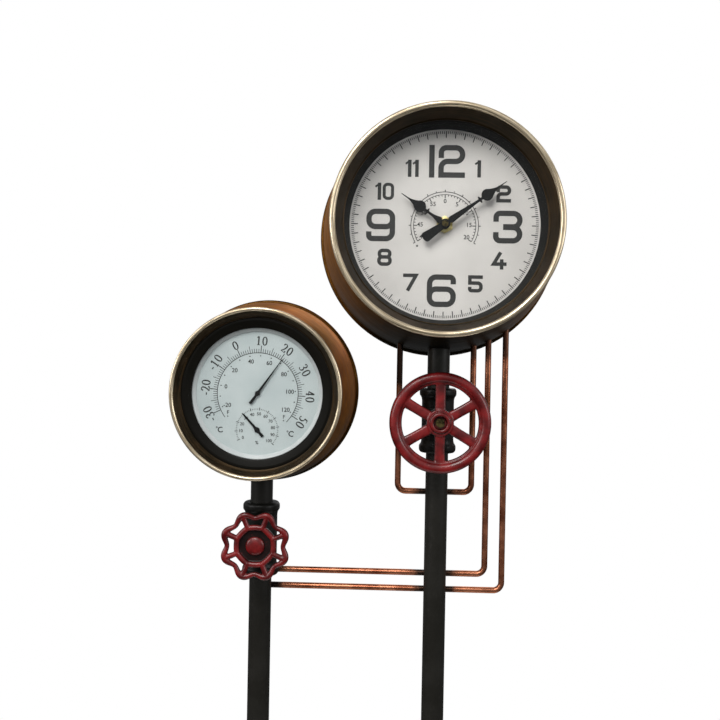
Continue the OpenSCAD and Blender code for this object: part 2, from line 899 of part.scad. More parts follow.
module humidity_pointer() {
    color("#141414") at_thermometer() translate([0, humidity_y, 0]) clock_turn(humidity_angle) {
        pointer(therm_dial_z + 0.6, 21, 8.3, 0.9, 2);
    }
}

// ---------- Handwheels ----------
large_wheel_y = 36;         // how far the rim's middle is in front of the post axis
large_rim_r = 5;
large_hub_r = 12.5;
large_boss_r = 9.5;
large_recess_r = 6.5;
spoke_r = 4;
hub_back = 29.5;
small_wheel_y = 39;
stem_end = 35;

module large_handwheel() {
    color(wheel_red) translate([tall_x, 0, tall_tee_z]) rotate([90, 0, 0]) difference() {
        union() {
            rotate_extrude() translate([large_wheel_r - large_rim_r, large_wheel_y]) circle(r = large_rim_r, $fn = 48);
            rod_between(hub_back, large_wheel_y + 3, large_hub_r);
            rod_between(hub_back, large_wheel_y + 4.8, large_boss_r);
            for (a = [30:60:330]) rotate([0, 0, a]) {
                translate([large_recess_r + 1.5, 0, large_wheel_y - 1]) rotate([0, 90, 0]) {
                    cylinder(h = large_wheel_r - large_rim_r - large_recess_r - 1.5, r = spoke_r);
                }
            }
        }
        rod_between(hub_back - cut, large_wheel_y, stem_r + 0.01);
        rod_between(large_wheel_y - 1, large_wheel_y + 5, large_recess_r);
    }
}

// The stem turns in the packing nut; a collar inside the tee keeps it there.
module valve_stem(x, z) {
    translate([x, 0, z]) rotate([90, 0, 0]) difference() {
        union() {
            rod_between(spigot_y - 1, stem_end, stem_r);
            rod_between(spigot_y - 4, spigot_y - 0.5, 6);
        }
        rod_between(stem_end - 6, stem_end + cut, 1.8);
    }
}

module large_valve_stem() {
    color("silver") valve_stem(tall_x, tall_tee_z);
}

module large_wheel_screw() {
    color(brass) translate([tall_x, -stem_end, tall_tee_z]) rotate([90, 0, 0]) pan_screw(4.2, 2.6, 1.75, 5);
}

lobe_count = 8;
lobe_half = 2.4;            // half the width of the scalloped rim's bars
lobe_dip_r = 26.5;          // where the rim's middle line dips in between lobes
lobe_tip_angle = 4;         // half the angle that a lobe's flat end spans
small_rim_t = 5.5;
small_spoke_half = 2.9;
small_ring_outer_r = 20.3;
small_ring_inner_r = 14.5;
small_cap_r = 9;

// The scalloped rim's outline, moved out by grow
module scallop(grow) {
    step = 360 / lobe_count;
    tip_r = small_wheel_r - lobe_half + grow;
    polygon([
        for (i = [0:lobe_count - 1])
            for (corner = [[tip_r, -lobe_tip_angle], [tip_r, lobe_tip_angle], [lobe_dip_r + grow, step / 2]])
                polar(corner[0], (i + 0.5) * step + corner[1])
    ]);
}

module small_rim_piece() {
    translate([0, 0, small_wheel_y - small_rim_t / 2]) linear_extrude(height = small_rim_t) children();
}

module small_handwheel() {
    step = 360 / lobe_count;
    color(wheel_red) translate([short_x, 0, short_tee_z]) rotate([90, 0, 0]) difference() {
        union() {
            difference() {
                small_rim_piece() scallop(lobe_half);
                translate([0, 0, small_wheel_y - small_rim_t]) {
                    linear_extrude(height = 2 * small_rim_t) scallop(-lobe_half);
                }
            }
            for (i = [0:lobe_count - 1]) {
                small_rim_piece() rotate((i + 0.5) * step) {
                    translate([small_ring_inner_r + 1, -small_spoke_half]) {
                        square([small_wheel_r - small_ring_inner_r - 3, 2 * small_spoke_half]);
                    }
                }
            }
            ring(small_ring_outer_r, small_ring_inner_r, small_wheel_y - 4, small_wheel_y + 2.5);
            rod_between(small_wheel_y - 5, small_wheel_y - 2.5, small_ring_inner_r + 1);
            rod_between(hub_back, small_wheel_y - 3, 8);
        }
        rod_between(hub_back - cut, small_wheel_y, stem_r + 0.01);
    }
}

module small_valve_stem() {
    color("silver") valve_stem(short_x, short_tee_z);
}

module small_wheel_cap() {
    color(wheel_red) translate([short_x, 0, short_tee_z]) rotate([90, 0, 0]) {
        rod_between(small_wheel_y - 2.5, small_wheel_y + 2, small_cap_r);
        rod_between(stem_end - 5, small_wheel_y - 2.4, 1.75);
    }
}

// ---------- Drawing ----------
base_plate();
tall_post_flange();
short_post_flange();
flange_screws();
tall_post_lower_pipe();
tall_post_upper_pipe();
short_post_lower_pipe();
short_post_upper_pipe();
tall_post_tee();
short_post_tee();
tall_packing_nut();
short_packing_nut();
u_rod();
inner_loop_rod();
outer_loop_rod();
clock_case();
clock_bezel();
clock_glass();
clock_spacer_ring();
clock_dial();
dial_screws();
clock_back_cover();
clock_back_screws();
clock_saddle();
saddle_set_screws();
movement_front_case();
movement_rear_case();
movement_nut();
motor_coil();
motor_stator();
battery();
battery_contacts();
centre_arbor();
minute_hand();
hand_nut();
hour_wheel();
hour_hand();
minute_wheel();
setting_knob();
thermometer_case();
thermometer_bezel();
insert_ring();
insert_lens();
dial_lip_ring();
thermometer_dial();
insert_cup();
pointer_bushes();
thermometer_coil();
humidity_coil();
thermometer_pointer();
humidity_pointer();
thermometer_back_cover();
thermometer_back_screws();
thermometer_saddle();
large_handwheel();
large_valve_stem();
large_wheel_screw();
small_handwheel();
small_valve_stem();
small_wheel_cap();
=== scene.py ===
import math

import bmesh
import bpy
from mathutils import Matrix, Vector


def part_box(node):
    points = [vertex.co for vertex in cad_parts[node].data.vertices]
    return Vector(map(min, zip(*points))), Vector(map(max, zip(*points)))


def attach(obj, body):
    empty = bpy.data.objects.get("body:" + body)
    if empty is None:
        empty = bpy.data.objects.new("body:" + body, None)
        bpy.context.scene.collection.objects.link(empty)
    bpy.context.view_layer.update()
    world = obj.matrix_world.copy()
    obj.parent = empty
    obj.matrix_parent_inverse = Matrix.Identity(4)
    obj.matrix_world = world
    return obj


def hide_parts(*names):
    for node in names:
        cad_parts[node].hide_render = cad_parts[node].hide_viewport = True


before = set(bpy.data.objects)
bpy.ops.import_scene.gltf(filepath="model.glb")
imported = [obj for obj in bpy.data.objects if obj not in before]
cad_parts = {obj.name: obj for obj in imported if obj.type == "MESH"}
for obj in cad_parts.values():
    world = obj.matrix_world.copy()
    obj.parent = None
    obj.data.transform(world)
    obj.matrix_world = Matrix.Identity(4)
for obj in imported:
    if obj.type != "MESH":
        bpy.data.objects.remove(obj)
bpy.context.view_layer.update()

# Looks of a two-post pipe garden clock. Shapes are drawn in millimetres in the frame of what they
# belong to, and each piece's object stands there: on a head, x is right, y is up and z comes out
# towards the viewer; on a post, z is up.

MM = 0.001


# ---------- Places taken from the frame ----------

def middle(node):
    low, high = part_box(node)
    return (low + high) / 2


def box_mm(node):
    low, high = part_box(node)
    return low / MM, high / MM


def front(node):
    """How far a node's front face is in front of the posts' axis."""
    return -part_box(node)[0].y / MM


def back(node):
    return -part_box(node)[1].y / MM


def radius(node):
    low, high = box_mm(node)
    return (high.x - low.x) / 2


def facing(node):
    """The place of something round that faces the viewer, with its axis through the node's middle."""
    centre = middle(node)
    return Matrix.Translation((centre.x, 0, centre.z)) @ Matrix.Rotation(math.radians(90), 4, "X")


def upright(node):
    """The place of something that stands on a post's axis, at the node's middle height."""
    centre = middle(node)
    return Matrix.Translation((centre.x, 0, centre.z))


CLOCK = facing("clock_bezel")
THERMOMETER = facing("thermometer_bezel")
tall_x = middle("tall_post_lower_pipe").x
short_x = middle("short_post_lower_pipe").x


# ---------- Shapes, each a pair of points and faces ----------

def merged(*shapes):
    points, faces = [], []
    for shape_points, shape_faces in shapes:
        start = len(points)
        points += shape_points
        faces += [[start + i for i in face] for face in shape_faces]
    return points, faces


def moved(shape, matrix):
    return [tuple(matrix @ Vector(point)) for point in shape[0]], shape[1]


def shifted(shape, x, y, z=0):
    return moved(shape, Matrix.Translation((x, y, z)))


def turned(shape, clockwise):
    return moved(shape, Matrix.Rotation(-math.radians(clockwise), 4, "Z"))


def loft(rings, closed=False):
    """Joins rings of points in order. closed joins the last to the first; if not, the ends are capped."""
    size = len(rings[0])
    points = [tuple(point) for ring in rings for point in ring]
    faces = []
    for i in range(len(rings) if closed else len(rings) - 1):
        here, there = i * size, (i + 1) % len(rings) * size
        for j in range(size):
            k = (j + 1) % size
            faces.append([here + j, here + k, there + k, there + j])
    if not closed:
        last = (len(rings) - 1) * size
        faces.append(list(range(size))[::-1])
        faces.append([last + j for j in range(size)])
    return points, faces


def circle(r, sides):
    angles = [2 * math.pi * i / sides for i in range(sides)]
    return [(r * math.cos(angle), r * math.sin(angle)) for angle in angles]


def lathe(profile, steps=240):
    """Spins a closed profile of (radius, height) points round z."""
    return loft([[(r * x, r * y, z) for r, z in profile] for x, y in circle(1, steps)], closed=True)


def stub(r, low, high, steps, bore=0):
    """A plain round bar or sleeve on the axis."""
    return lathe([(bore, low), (r, low), (r, high), (bore, high)], steps)


def spun(section, steps=240):
    """A lathed solid with rounded corners: section holds (radius, height, corner's radius)."""
    points = [(r, z) for r, z, _ in section]
    return lathe(rounded(points, [corner for _, _, corner in section]), steps)


def rounded(points, radii, closed=True, step=14):
    """A path with rounded corners; radii is one radius, or one for each point."""
    points = [Vector(p) for p in points]
    if not hasattr(radii, "__len__"):
        radii = [radii] * len(points)
    path = []
    for i, (corner, r) in enumerate(zip(points, radii)):
        is_end = not closed and i in (0, len(points) - 1)
        if is_end or r == 0:
            path.append(corner)
            continue
        before = points[i - 1] - corner
        after = points[(i + 1) % len(points)] - corner
        half = before.angle(after) / 2
        if half > math.radians(88):
            path.append(corner)
            continue
        reach = min(r / math.tan(half), 0.49 * before.length, 0.49 * after.length)
        centre = corner + (before.normalized() + after.normalized()).normalized() * reach / math.cos(half)
        start = corner + before.normalized() * reach - centre
        end = corner + after.normalized() * reach - centre
        count = max(2, round(math.degrees(math.pi - 2 * half) / step))
        sweep = start.angle(end)
        for k in range(count + 1):
            t = k / count
            swung = start * math.sin((1 - t) * sweep) + end * math.sin(t * sweep)
            path.append(centre + swung / math.sin(sweep))
    return path


def tube(path, radii, sides, closed=False):
    """A tube along a path; radii is one radius or one for each point."""
    path = [Vector(p) for p in path]
    if not hasattr(radii, "__len__"):
        radii = [radii] * len(path)
    count = len(path)
    tangents = []
    for i in range(count):
        before = path[i - 1] if i or closed else path[i]
        after = path[(i + 1) % count] if i < count - 1 or closed else path[i]
        tangents.append((after - before).normalized())
    side = tangents[0].orthogonal().normalized()
    rings = []
    for i, (point, tangent, r) in enumerate(zip(path, tangents, radii)):
        if i:
            side = tangents[i - 1].rotation_difference(tangent) @ side
        other = tangent.cross(side)
        rings.append([point + (side * a + other * b) for a, b in circle(r, sides)])
    return loft(rings, closed)


def band(path, width, low, high, closed=False):
    """A flat strip along a path in the plane. A width of (upright, level) varies as a broad pen's does."""
    upright, level = width if isinstance(width, tuple) else (width, width)
    path = [Vector(p[:2]) for p in path]
    count = len(path)
    rings = []
    for i, point in enumerate(path):
        before = (point - path[i - 1]) if i or closed else None
        after = (path[(i + 1) % count] - point) if i < count - 1 or closed else None
        before, after = (before or after).normalized(), (after or before).normalized()
        along = (before + after).normalized()
        spread = level + (upright - level) * abs(along.y) ** 1.3
        across = Vector((-along.y, along.x)) * spread / 2 / max(0.4, along.dot(after))
        left, right = point + across, point - across
        rings.append([(*left, low), (*left, high), (*right, high), (*right, low)])
    return loft(rings, closed)


def on_dial(r, clockwise):
    """A point of a dial, at an angle from the top in degrees."""
    return Vector((r * math.sin(math.radians(clockwise)), r * math.cos(math.radians(clockwise))))


def blade(profile, low, high, edge=0.15):
    """A flat piece along y, the same on both sides: profile holds (y, half width), from end to end."""
    rings = []
    for y, half in profile:
        half = max(half, 0.02)
        soft = min(edge, 0.6 * half)
        rings.append([
            (-half, y, low), (-half, y, high - soft), (soft - half, y, high),
            (half - soft, y, high), (half, y, high - soft), (half, y, low),
        ])
    return loft(rings)


def hex_nut(flats, low, high, bore, chamfer=0.8):
    """A hexagon nut with turned corners at both ends."""
    sides, turned_r = 72, flats / 2 * 1.03
    rings = []
    for i in range(sides):
        degrees = 360 * i / sides
        reach = flats / 2 / math.cos(math.radians((degrees + 30) % 60 - 30))
        corner = min(reach, turned_r)
        drop = chamfer * (reach - corner) / (0.12 * flats)
        section = [(bore, low), (corner, low), (reach, low + drop),
                   (reach, high - drop), (corner, high), (bore, high)]
        x, y = math.cos(math.radians(degrees)), math.sin(math.radians(degrees))
        rings.append([(r * x, r * y, z) for r, z in section])
    return loft(rings, closed=True)


def placed(name, data):
    made = bpy.data.objects.new(name, data)
    bpy.context.scene.collection.objects.link(made)
    return made


def evaluated(holder):
    """The mesh that an object's curve or modifiers make. The object is removed."""
    bpy.context.view_layer.update()
    mesh = bpy.data.meshes.new_from_object(holder.evaluated_get(bpy.context.evaluated_depsgraph_get()))
    bpy.data.objects.remove(holder)
    return mesh


def words(text, height, at, clockwise=0, weight=0.15):
    """Printed lettering with its middle at a point of the dial."""
    curve = bpy.data.curves.new("words", "FONT")
    capitals = 7.0
    curve.body = text
    curve.size = 10
    curve.resolution_u = 3
    curve.offset = weight
    drawn = evaluated(placed("words", curve))
    outline = [vertex.co.copy() for vertex in drawn.vertices]
    faces = [list(polygon.vertices) for polygon in drawn.polygons]
    bpy.data.meshes.remove(drawn)
    edges = {}
    for face in faces:
        for a, b in zip(face, face[1:] + face[:1]):
            edges[a, b] = edges.get((a, b), 0) + 1
    x_values, y_values = [p.x for p in outline], [p.y for p in outline]
    shift = Vector(((min(x_values) + max(x_values)) / 2, (min(y_values) + max(y_values)) / 2))
    size = height / capitals
    turn = Matrix.Rotation(-math.radians(clockwise), 2)
    flat = [Vector(at) + turn @ ((p.xy - shift) * size) for p in outline]
    count = len(flat)
    points = [(*p, PRINT_T) for p in flat] + [(*p, 0) for p in flat]
    sides = [[b, a, a + count, b + count] for a, b in edges if (b, a) not in edges]
    bottoms = [[i + count for i in reversed(face)] for face in faces]
    return points, faces + bottoms + sides


def tidy(mesh):
    """Merges doubled points and turns every face outwards."""
    shape = bmesh.new()
    shape.from_mesh(mesh)
    bmesh.ops.remove_doubles(shape, verts=shape.verts, dist=1e-6)
    bmesh.ops.dissolve_degenerate(shape, edges=shape.edges, dist=1e-7)
    bmesh.ops.recalc_face_normals(shape, faces=shape.faces)
    shape.to_mesh(mesh)
    shape.free()


def mesh_of(name, shape):
    mesh = bpy.data.meshes.new(name)
    mesh.from_pydata([Vector(point) * MM for point in shape[0]], [], shape[1])
    tidy(mesh)
    return mesh


def cast(name, shape, grain, passes):
    """Fuses overlapping closed shapes into one skin with soft inner corners, as a casting has."""
    rough = placed(name + "_rough", mesh_of(name, shape))
    fuse = rough.modifiers.new("fuse", "REMESH")
    fuse.mode = "VOXEL"
    fuse.voxel_size = grain * MM
    soften = rough.modifiers.new("soften", "SMOOTH")
    soften.factor = 0.5
    soften.iterations = passes
    mesh = evaluated(rough)
    mesh.name = name
    return mesh


def piece(name, shape, place, material, body="stand", stands_for=None, crease=35):
    """Makes a piece of the object from a shape or a mesh, gives it its material, hangs it on its body's
    empty and hides the CAD part that it stands for.
    """
    mesh = shape if isinstance(shape, bpy.types.Mesh) else mesh_of(name, shape)
    mesh.shade_smooth()
    mesh.set_sharp_from_angle(angle=math.radians(crease))
    mesh.materials.clear()
    mesh.materials.append(material)
    made = placed(name, mesh)
    made.matrix_world = place
    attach(made, body)
    if stands_for:
        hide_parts(stands_for)


# ---------- Materials ----------

def rgb(red, green, blue):
    """A colour given as a screen shows it, 0 to 255, in the shader's linear values."""
    def linear(value):
        value /= 255
        return value / 12.92 if value <= 0.04045 else ((value + 0.055) / 1.055) ** 2.4
    return linear(red), linear(green), linear(blue), 1


def add_node(tree, kind, inputs=(), **settings):
    """Adds a node; an input is a constant or the socket that it comes from."""
    node = tree.nodes.new(kind)
    for key, value in settings.items():
        setattr(node, key, value)
    for key, value in dict(inputs).items():
        join(tree, value, node.inputs[key])
    return node


def join(tree, value, socket):
    if isinstance(value, bpy.types.NodeSocket):
        tree.links.new(value, socket)
    else:
        socket.default_value = value


class Finish:
    """A material being made, with short ways to add nodes and join them."""

    def __init__(self, name, **sockets):
        self.material = bpy.data.materials.new(name)
        self.material.use_nodes = True
        self.tree = self.material.node_tree
        self.shader = self.tree.nodes["Principled BSDF"]
        coordinates = self.add("ShaderNodeTexCoord").outputs
        self.place, self.normal = coordinates["Object"], coordinates["Normal"]
        for socket, value in sockets.items():
            self.set(socket.replace("_", " "), value)

    def add(self, kind, inputs=(), **settings):
        return add_node(self.tree, kind, inputs, **settings)

    def set(self, socket, value):
        join(self.tree, value, self.shader.inputs[socket])

    def paint(self, factor, a, b):
        self.set("Base Color", self.mix(factor, a, b))

    def rough(self, value, smooth, dull, low=0.3, high=0.7):
        self.set("Roughness", self.ramp(value, low, high, smooth, dull))

    def axis(self, letter):
        return self.add("ShaderNodeSeparateXYZ", {0: self.place}).outputs["XYZ".index(letter)]

    def math(self, operation, a, b=0.0):
        return self.add("ShaderNodeMath", {0: a, 1: b}, operation=operation).outputs[0]

    def plus(self, a, b):
        return self.math("ADD", a, b)

    def times(self, a, b):
        return self.math("MULTIPLY", a, b)

    def inverse(self, value):
        return self.math("SUBTRACT", 1.0, value)

    def most(self, first, *others):
        for other in others:
            first = self.math("MAXIMUM", first, other)
        return first

    def wander(self, noise, reach):
        """Turns noise into millimetres to and fro, to make an edge uneven."""
        return self.times(self.plus(noise, -0.5), reach * MM)

    def noise(self, size, detail=4.0, stretch=(1, 1, 1), place=None):
        """Noise whose features are about size millimetres across."""
        where = self.add("ShaderNodeMapping", {"Vector": place or self.place, "Scale": stretch}).outputs[0]
        inputs = {"Vector": where, "Scale": 1 / (size * MM), "Detail": detail, "Roughness": 0.55}
        return self.add("ShaderNodeTexNoise", inputs).outputs[0]

    def ramp(self, value, low=0.3, high=0.7, start=0.0, end=1.0):
        """Goes softly from start to end as a value goes from low to high; noise mostly fills 0.3 to 0.7."""
        inputs = {"Value": value, "From Min": low, "From Max": high, "To Min": start, "To Max": end}
        return self.add("ShaderNodeMapRange", inputs, interpolation_type="SMOOTHSTEP").outputs[0]

    def mix(self, factor, a, b):
        return self.add("ShaderNodeMix", {0: factor, 6: a, 7: b}, data_type="RGBA").outputs[2]

    def polar(self):
        """Place as (radius, turns round the axis, depth), for rings and streaks on round pieces."""
        x, y, z = (self.axis(letter) for letter in "XYZ")
        r = self.math("SQRT", self.plus(self.times(x, x), self.times(y, y)))
        return r, self.math("ARCTAN2", y, x), z

    def streaked(self, size, around, detail=4.0):
        """Noise drawn out along the circumference: size across the streaks, around along them."""
        r, angle, z = self.polar()
        mean_r = 0.09
        along = self.times(angle, mean_r * size / around)
        place = self.add("ShaderNodeCombineXYZ", {0: r, 1: along, 2: z}).outputs[0]
        return self.noise(size, detail, place=place)

    def edges(self, low, high):
        """1 on sharp outer edges and 0 on flat ground and in hollows; swap the limits for hollows."""
        pointed = self.add("ShaderNodeNewGeometry").outputs["Pointiness"]
        return self.ramp(pointed, low, high)

    def bump(self, height, strength, distance):
        inputs = {"Height": height, "Strength": strength, "Distance": distance * MM}
        previous = self.shader.inputs["Normal"].links
        if previous:
            inputs["Normal"] = previous[0].from_socket
        self.set("Normal", self.add("ShaderNodeBump", inputs).outputs[0])


def black_enamel(name, texture=1.0, low=8, high=17):
    """Satin black paint on iron: soft orange peel, dull patches and a little dust."""
    m = Finish(name, Specular_IOR_Level=0.2)
    patches = m.noise(22, 5)
    fine = m.noise(1.6 * texture, 3)
    dust = m.ramp(m.noise(7, 8), 0.56, 0.78)
    ground = m.mix(patches, rgb(low, low, low - 2), rgb(high, high - 1, high - 4))
    scuffs = m.edges(0.53, 0.62)
    colour = m.mix(m.times(dust, 0.3), ground, rgb(50, 49, 45))
    m.paint(m.times(scuffs, 0.4), colour, rgb(66, 63, 57))
    m.rough(patches, 0.34, 0.54, 0.25, 0.75)
    m.bump(fine, 0.25, 0.12 * texture)
    m.bump(m.noise(9, 3), 0.2, 0.3)
    return m.material


def red_enamel(name, shade_below):
    """Red paint on a sand casting. Painted shade turns it near black in hollows, on rims' sides and where
    the front is less than the given depth from the post's axis."""
    m = Finish(name, Coat_Roughness=0.2, Specular_IOR_Level=0.3)
    patches = m.noise(13, 5)
    fine = m.noise(1.3, 4)
    ground = m.mix(m.ramp(patches), rgb(66, 6, 7), rgb(118, 15, 16))
    # Painted highlight with some rubbed paint: sharp edges turn pale pink in places.
    edge_highlight = m.times(m.edges(0.515, 0.57), m.ramp(m.noise(2.5, 5), 0.4, 0.65))
    paint = m.mix(m.times(edge_highlight, 0.3), ground, rgb(190, 96, 88))
    # Painted shade: near black in concave hollows, on faces turned side-on to the axis and in the cup
    # behind the front, broken up by noise.
    forward = m.add("ShaderNodeSeparateXYZ", {0: m.normal}).outputs[2]
    side = m.ramp(m.math("ABSOLUTE", forward), 0.72, 0.36, 0, 0.8)
    below = m.ramp(m.axis("Z"), shade_below * MM, (shade_below - 2.2) * MM)
    deep = m.times(below, m.ramp(forward, 0, 0.3))
    hollows = m.most(m.edges(0.485, 0.44), side, deep)
    painted_shade = m.times(hollows, m.ramp(m.noise(3, 4), 0.2, 0.45, 0.62, 0.97))
    # The painted shade together with a random dark mottle.
    shade = m.most(painted_shade, m.ramp(fine, 0.6, 0.76, 0, 0.45))
    m.paint(shade, paint, rgb(17, 9, 7))
    m.set("Coat Weight", m.times(m.inverse(shade), 0.35))
    m.rough(patches, 0.3, 0.5, 0.25, 0.75)
    m.bump(fine, 0.35, 0.15)
    m.bump(m.noise(6, 3), 0.3, 0.5)
    return m.material


def antique_bronze(name, node):
    """Brushed bronze lacquer with random dark streaks, and painted shade at both rims and all down the
    underside of the drum.
    """
    front_z, back_z, wall_r = front(node), back(node), radius(node)
    m = Finish(name, Specular_Tint=rgb(208, 162, 90), Specular_IOR_Level=0.14)
    mottle = m.noise(13, 6)
    brushed = m.streaked(1.6, 60, 5)
    tone = m.plus(m.times(mottle, 0.5), m.times(brushed, 0.5))
    ground = m.mix(m.ramp(tone, 0.28, 0.7), rgb(98, 62, 24), rgb(158, 106, 44))
    wander = m.wander(m.streaked(5, 40), 14)
    depth = m.plus(m.axis("Z"), wander)
    # Painted shade: a dark band in front of the back roll and another behind the front bead.
    back_shade = m.ramp(depth, (back_z + 11) * MM, (back_z + 3) * MM, 0, 0.8)
    front_shade = m.ramp(depth, (front_z - 9) * MM, (front_z - 1) * MM, 0, 0.7)
    streaks = m.ramp(m.streaked(2.2, 90, 3), 0.56, 0.7, 0, 0.5)
    # Painted shade: the underside goes dark and less metallic, where light from above doesn't reach.
    height = m.plus(m.axis("Y"), wander)
    underside_shade = m.ramp(height, -0.15 * wall_r * MM, -0.95 * wall_r * MM)
    # The painted rim shade and the random dark streaks share one dark colour.
    rims = m.most(back_shade, front_shade, streaks)
    shade_and_streak_colour = m.mix(m.ramp(underside_shade, 0.35, 0.9), rgb(34, 23, 10), rgb(10, 10, 4))
    m.paint(m.most(rims, underside_shade), ground, shade_and_streak_colour)
    m.set("Metallic", m.times(m.inverse(underside_shade), 0.8))
    m.rough(brushed, 0.34, 0.5)
    m.bump(brushed, 0.2, 0.08)
    m.bump(mottle, 0.15, 0.4)
    return m.material


def gold_bead(name):
    """A pale gold bead with fine rubbed marks and a broken dark patina."""
    m = Finish(name, Metallic=0.8)
    rubbed = m.streaked(0.7, 26, 6)
    patina = m.streaked(1.6, 34, 5)
    ground = m.mix(m.ramp(rubbed), rgb(150, 132, 102), rgb(236, 220, 192))
    stained = m.ramp(patina, 0.52, 0.68, 0, 0.6)
    m.paint(stained, ground, rgb(62, 48, 32))
    m.rough(patina, 0.24, 0.42)
    m.bump(rubbed, 0.3, 0.06)
    return m.material


def dark_patina(name):
    """The inside of a bezel: near-black brown lacquer, warmer in places, with faint turning marks."""
    m = Finish(name, Metallic=0.1, Specular_IOR_Level=0.3, Specular_Tint=rgb(220, 190, 150))
    marks = m.streaked(0.9, 50, 5)
    clouds = m.noise(24, 5)
    ground = m.mix(m.ramp(clouds, 0.35, 0.7), rgb(11, 11, 7), rgb(34, 25, 15))
    m.paint(m.ramp(marks, 0.45, 0.75, 0, 0.5), ground, rgb(74, 54, 32))
    m.rough(marks, 0.34, 0.5)
    m.bump(marks, 0.2, 0.06)
    return m.material


def copper_paint(name):
    """Brown copper lacquer on steel rod, with black overspray next to the posts, and darker on the left
    leg's top and just below the case.
    """
    m = Finish(name, Specular_Tint=rgb(230, 176, 146))
    mottle = m.noise(18, 5)
    drawn = m.noise(1.4, 5, stretch=(1, 1, 0.3))
    ground = m.mix(m.ramp(mottle), rgb(122, 68, 46), rgb(184, 120, 90))
    ground = m.mix(m.ramp(drawn, 0.55, 0.8, 0, 0.45), ground, rgb(62, 32, 22))
    x, z = m.axis("X"), m.axis("Z")
    wander = m.wander(m.noise(9), 20)
    near = 0.0
    for post_x in (tall_x, short_x):
        away = m.plus(m.math("ABSOLUTE", m.plus(x, -post_x)), wander)
        near = m.most(near, m.ramp(away, 27 * MM, 14 * MM))
    case_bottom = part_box("clock_case")[0].z
    # Darker on the upper part of the left leg and for a few millimetres just below the case.
    left_of_post = m.ramp(x, tall_x - 20 * MM, tall_x - 30 * MM)
    height = m.plus(z, wander)
    left_leg = m.times(left_of_post, m.ramp(height, case_bottom - 42 * MM, case_bottom - 22 * MM))
    at_case = m.ramp(height, case_bottom - 7 * MM, case_bottom + 3 * MM, 0, 0.7)
    near = m.most(near, left_leg, at_case)
    m.paint(near, ground, rgb(16, 13, 12))
    m.set("Metallic", m.times(m.inverse(near), 0.85))
    m.rough(mottle, 0.2, 0.34)
    m.bump(drawn, 0.2, 0.06)
    return m.material


def dial_card(name, low, high):
    """Printed card with fine fibres and faint clouding."""
    m = Finish(name, Roughness=0.62)
    fibres = m.noise(0.6, 5, stretch=(1, 1, 4))
    clouds = m.noise(30, 3)
    tone = m.plus(m.times(fibres, 0.4), m.times(clouds, 0.6))
    m.paint(m.ramp(tone), low, high)
    m.bump(fibres, 0.12, 0.03)
    return m.material


def ink(name, shade):
    """Matt printing ink with a faint break-up over the card's grain."""
    m = Finish(name)
    grain = m.noise(0.5, 4)
    light = shade + 18
    m.paint(m.ramp(grain, 0.4, 0.8), rgb(shade, shade, shade - 2), rgb(light, light, light - 2))
    m.rough(grain, 0.5, 0.7)
    return m.material


def clear_glass(name):
    """Window glass: nearly invisible, with a soft gloss and the faintest smears."""
    m = Finish(name, Base_Color=(0.05, 0.055, 0.06, 1), Alpha=0.06, Specular_IOR_Level=0.25)
    m.rough(m.noise(25, 5), 0.02, 0.1, 0.4, 0.7)
    return m.material


def moulded_plastic(name, dark, light, grain=0.7, gloss=0.35):
    """Plastic or enamel with an even fine texture and faint clouding."""
    m = Finish(name, Specular_IOR_Level=gloss)
    texture = m.noise(grain, 3)
    m.paint(m.noise(9, 4), dark, light)
    m.rough(texture, 0.36, 0.5)
    m.bump(texture, 0.2, 0.05)
    return m.material


def bare_metal(name, dark, light, rough=0.3):
    """Turned or stamped metal with fine marks, tarnished in places."""
    m = Finish(name, Metallic=0.92)
    marks = m.noise(0.7, 5, stretch=(1, 4, 1))
    tarnish = m.noise(4, 6)
    m.paint(m.ramp(tarnish, 0.35, 0.68), light, dark)
    m.rough(marks, rough, rough + 0.18)
    m.bump(marks, 0.2, 0.04)
    return m.material


def wire_winding(name):
    """Fine enamelled copper wire, laid side by side up the coil."""
    m = Finish(name, Metallic=0.85)
    wave = {"Vector": m.place, "Scale": 1 / (1.9 * MM), "Distortion": 0.4}
    turns = m.add("ShaderNodeTexWave", wave, bands_direction="Z").outputs[1]
    m.paint(turns, rgb(92, 44, 18), rgb(206, 122, 62))
    m.rough(m.noise(2, 3), 0.28, 0.4)
    m.bump(turns, 0.6, 0.1)
    return m.material


def battery_sleeve(name, split_x):
    """A plain battery sleeve, black with a copper-coloured end, printed on a thin film."""
    m = Finish(name, Coat_Weight=0.4)
    end = m.ramp(m.axis("X"), split_x - 0.1 * MM, split_x + 0.1 * MM)
    scuffed = m.noise(3, 5)
    body = m.mix(scuffed, rgb(22, 22, 24), rgb(40, 40, 43))
    m.paint(end, body, rgb(176, 112, 62))
    m.set("Metallic", m.times(end, 0.7))
    m.rough(scuffed, 0.26, 0.42)
    return m.material


IRON = black_enamel("black_iron_paint")
CAST_IRON = black_enamel("black_cast_paint", texture=1.6, low=7, high=16)
FASTENER = black_enamel("black_fastener_finish", texture=0.6, low=12, high=26)
LARGE_RED = red_enamel("large_wheel_paint", 35.2)
SMALL_RED = red_enamel("small_wheel_paint", 38.6)
COPPER = copper_paint("copper_rod_paint")
GOLD = gold_bead("gold_bead_lacquer")
CLOCK_BRONZE = antique_bronze("clock_bronze", "clock_case")
THERMOMETER_BRONZE = antique_bronze("thermometer_bronze", "thermometer_case")
FUNNEL = dark_patina("bezel_inside_lacquer")
CLOCK_CARD = dial_card("clock_card", rgb(214, 211, 206), rgb(228, 225, 220))
THERMOMETER_CARD = dial_card("thermometer_card", rgb(184, 196, 196), rgb(200, 210, 209))
INK = ink("printing_ink", 42)
FINE_INK = ink("fine_printing_ink", 34)
GLASS = clear_glass("window_glass")
BLACK_PLASTIC = moulded_plastic("black_moulding", rgb(8, 8, 5), rgb(17, 15, 11), gloss=0.1)
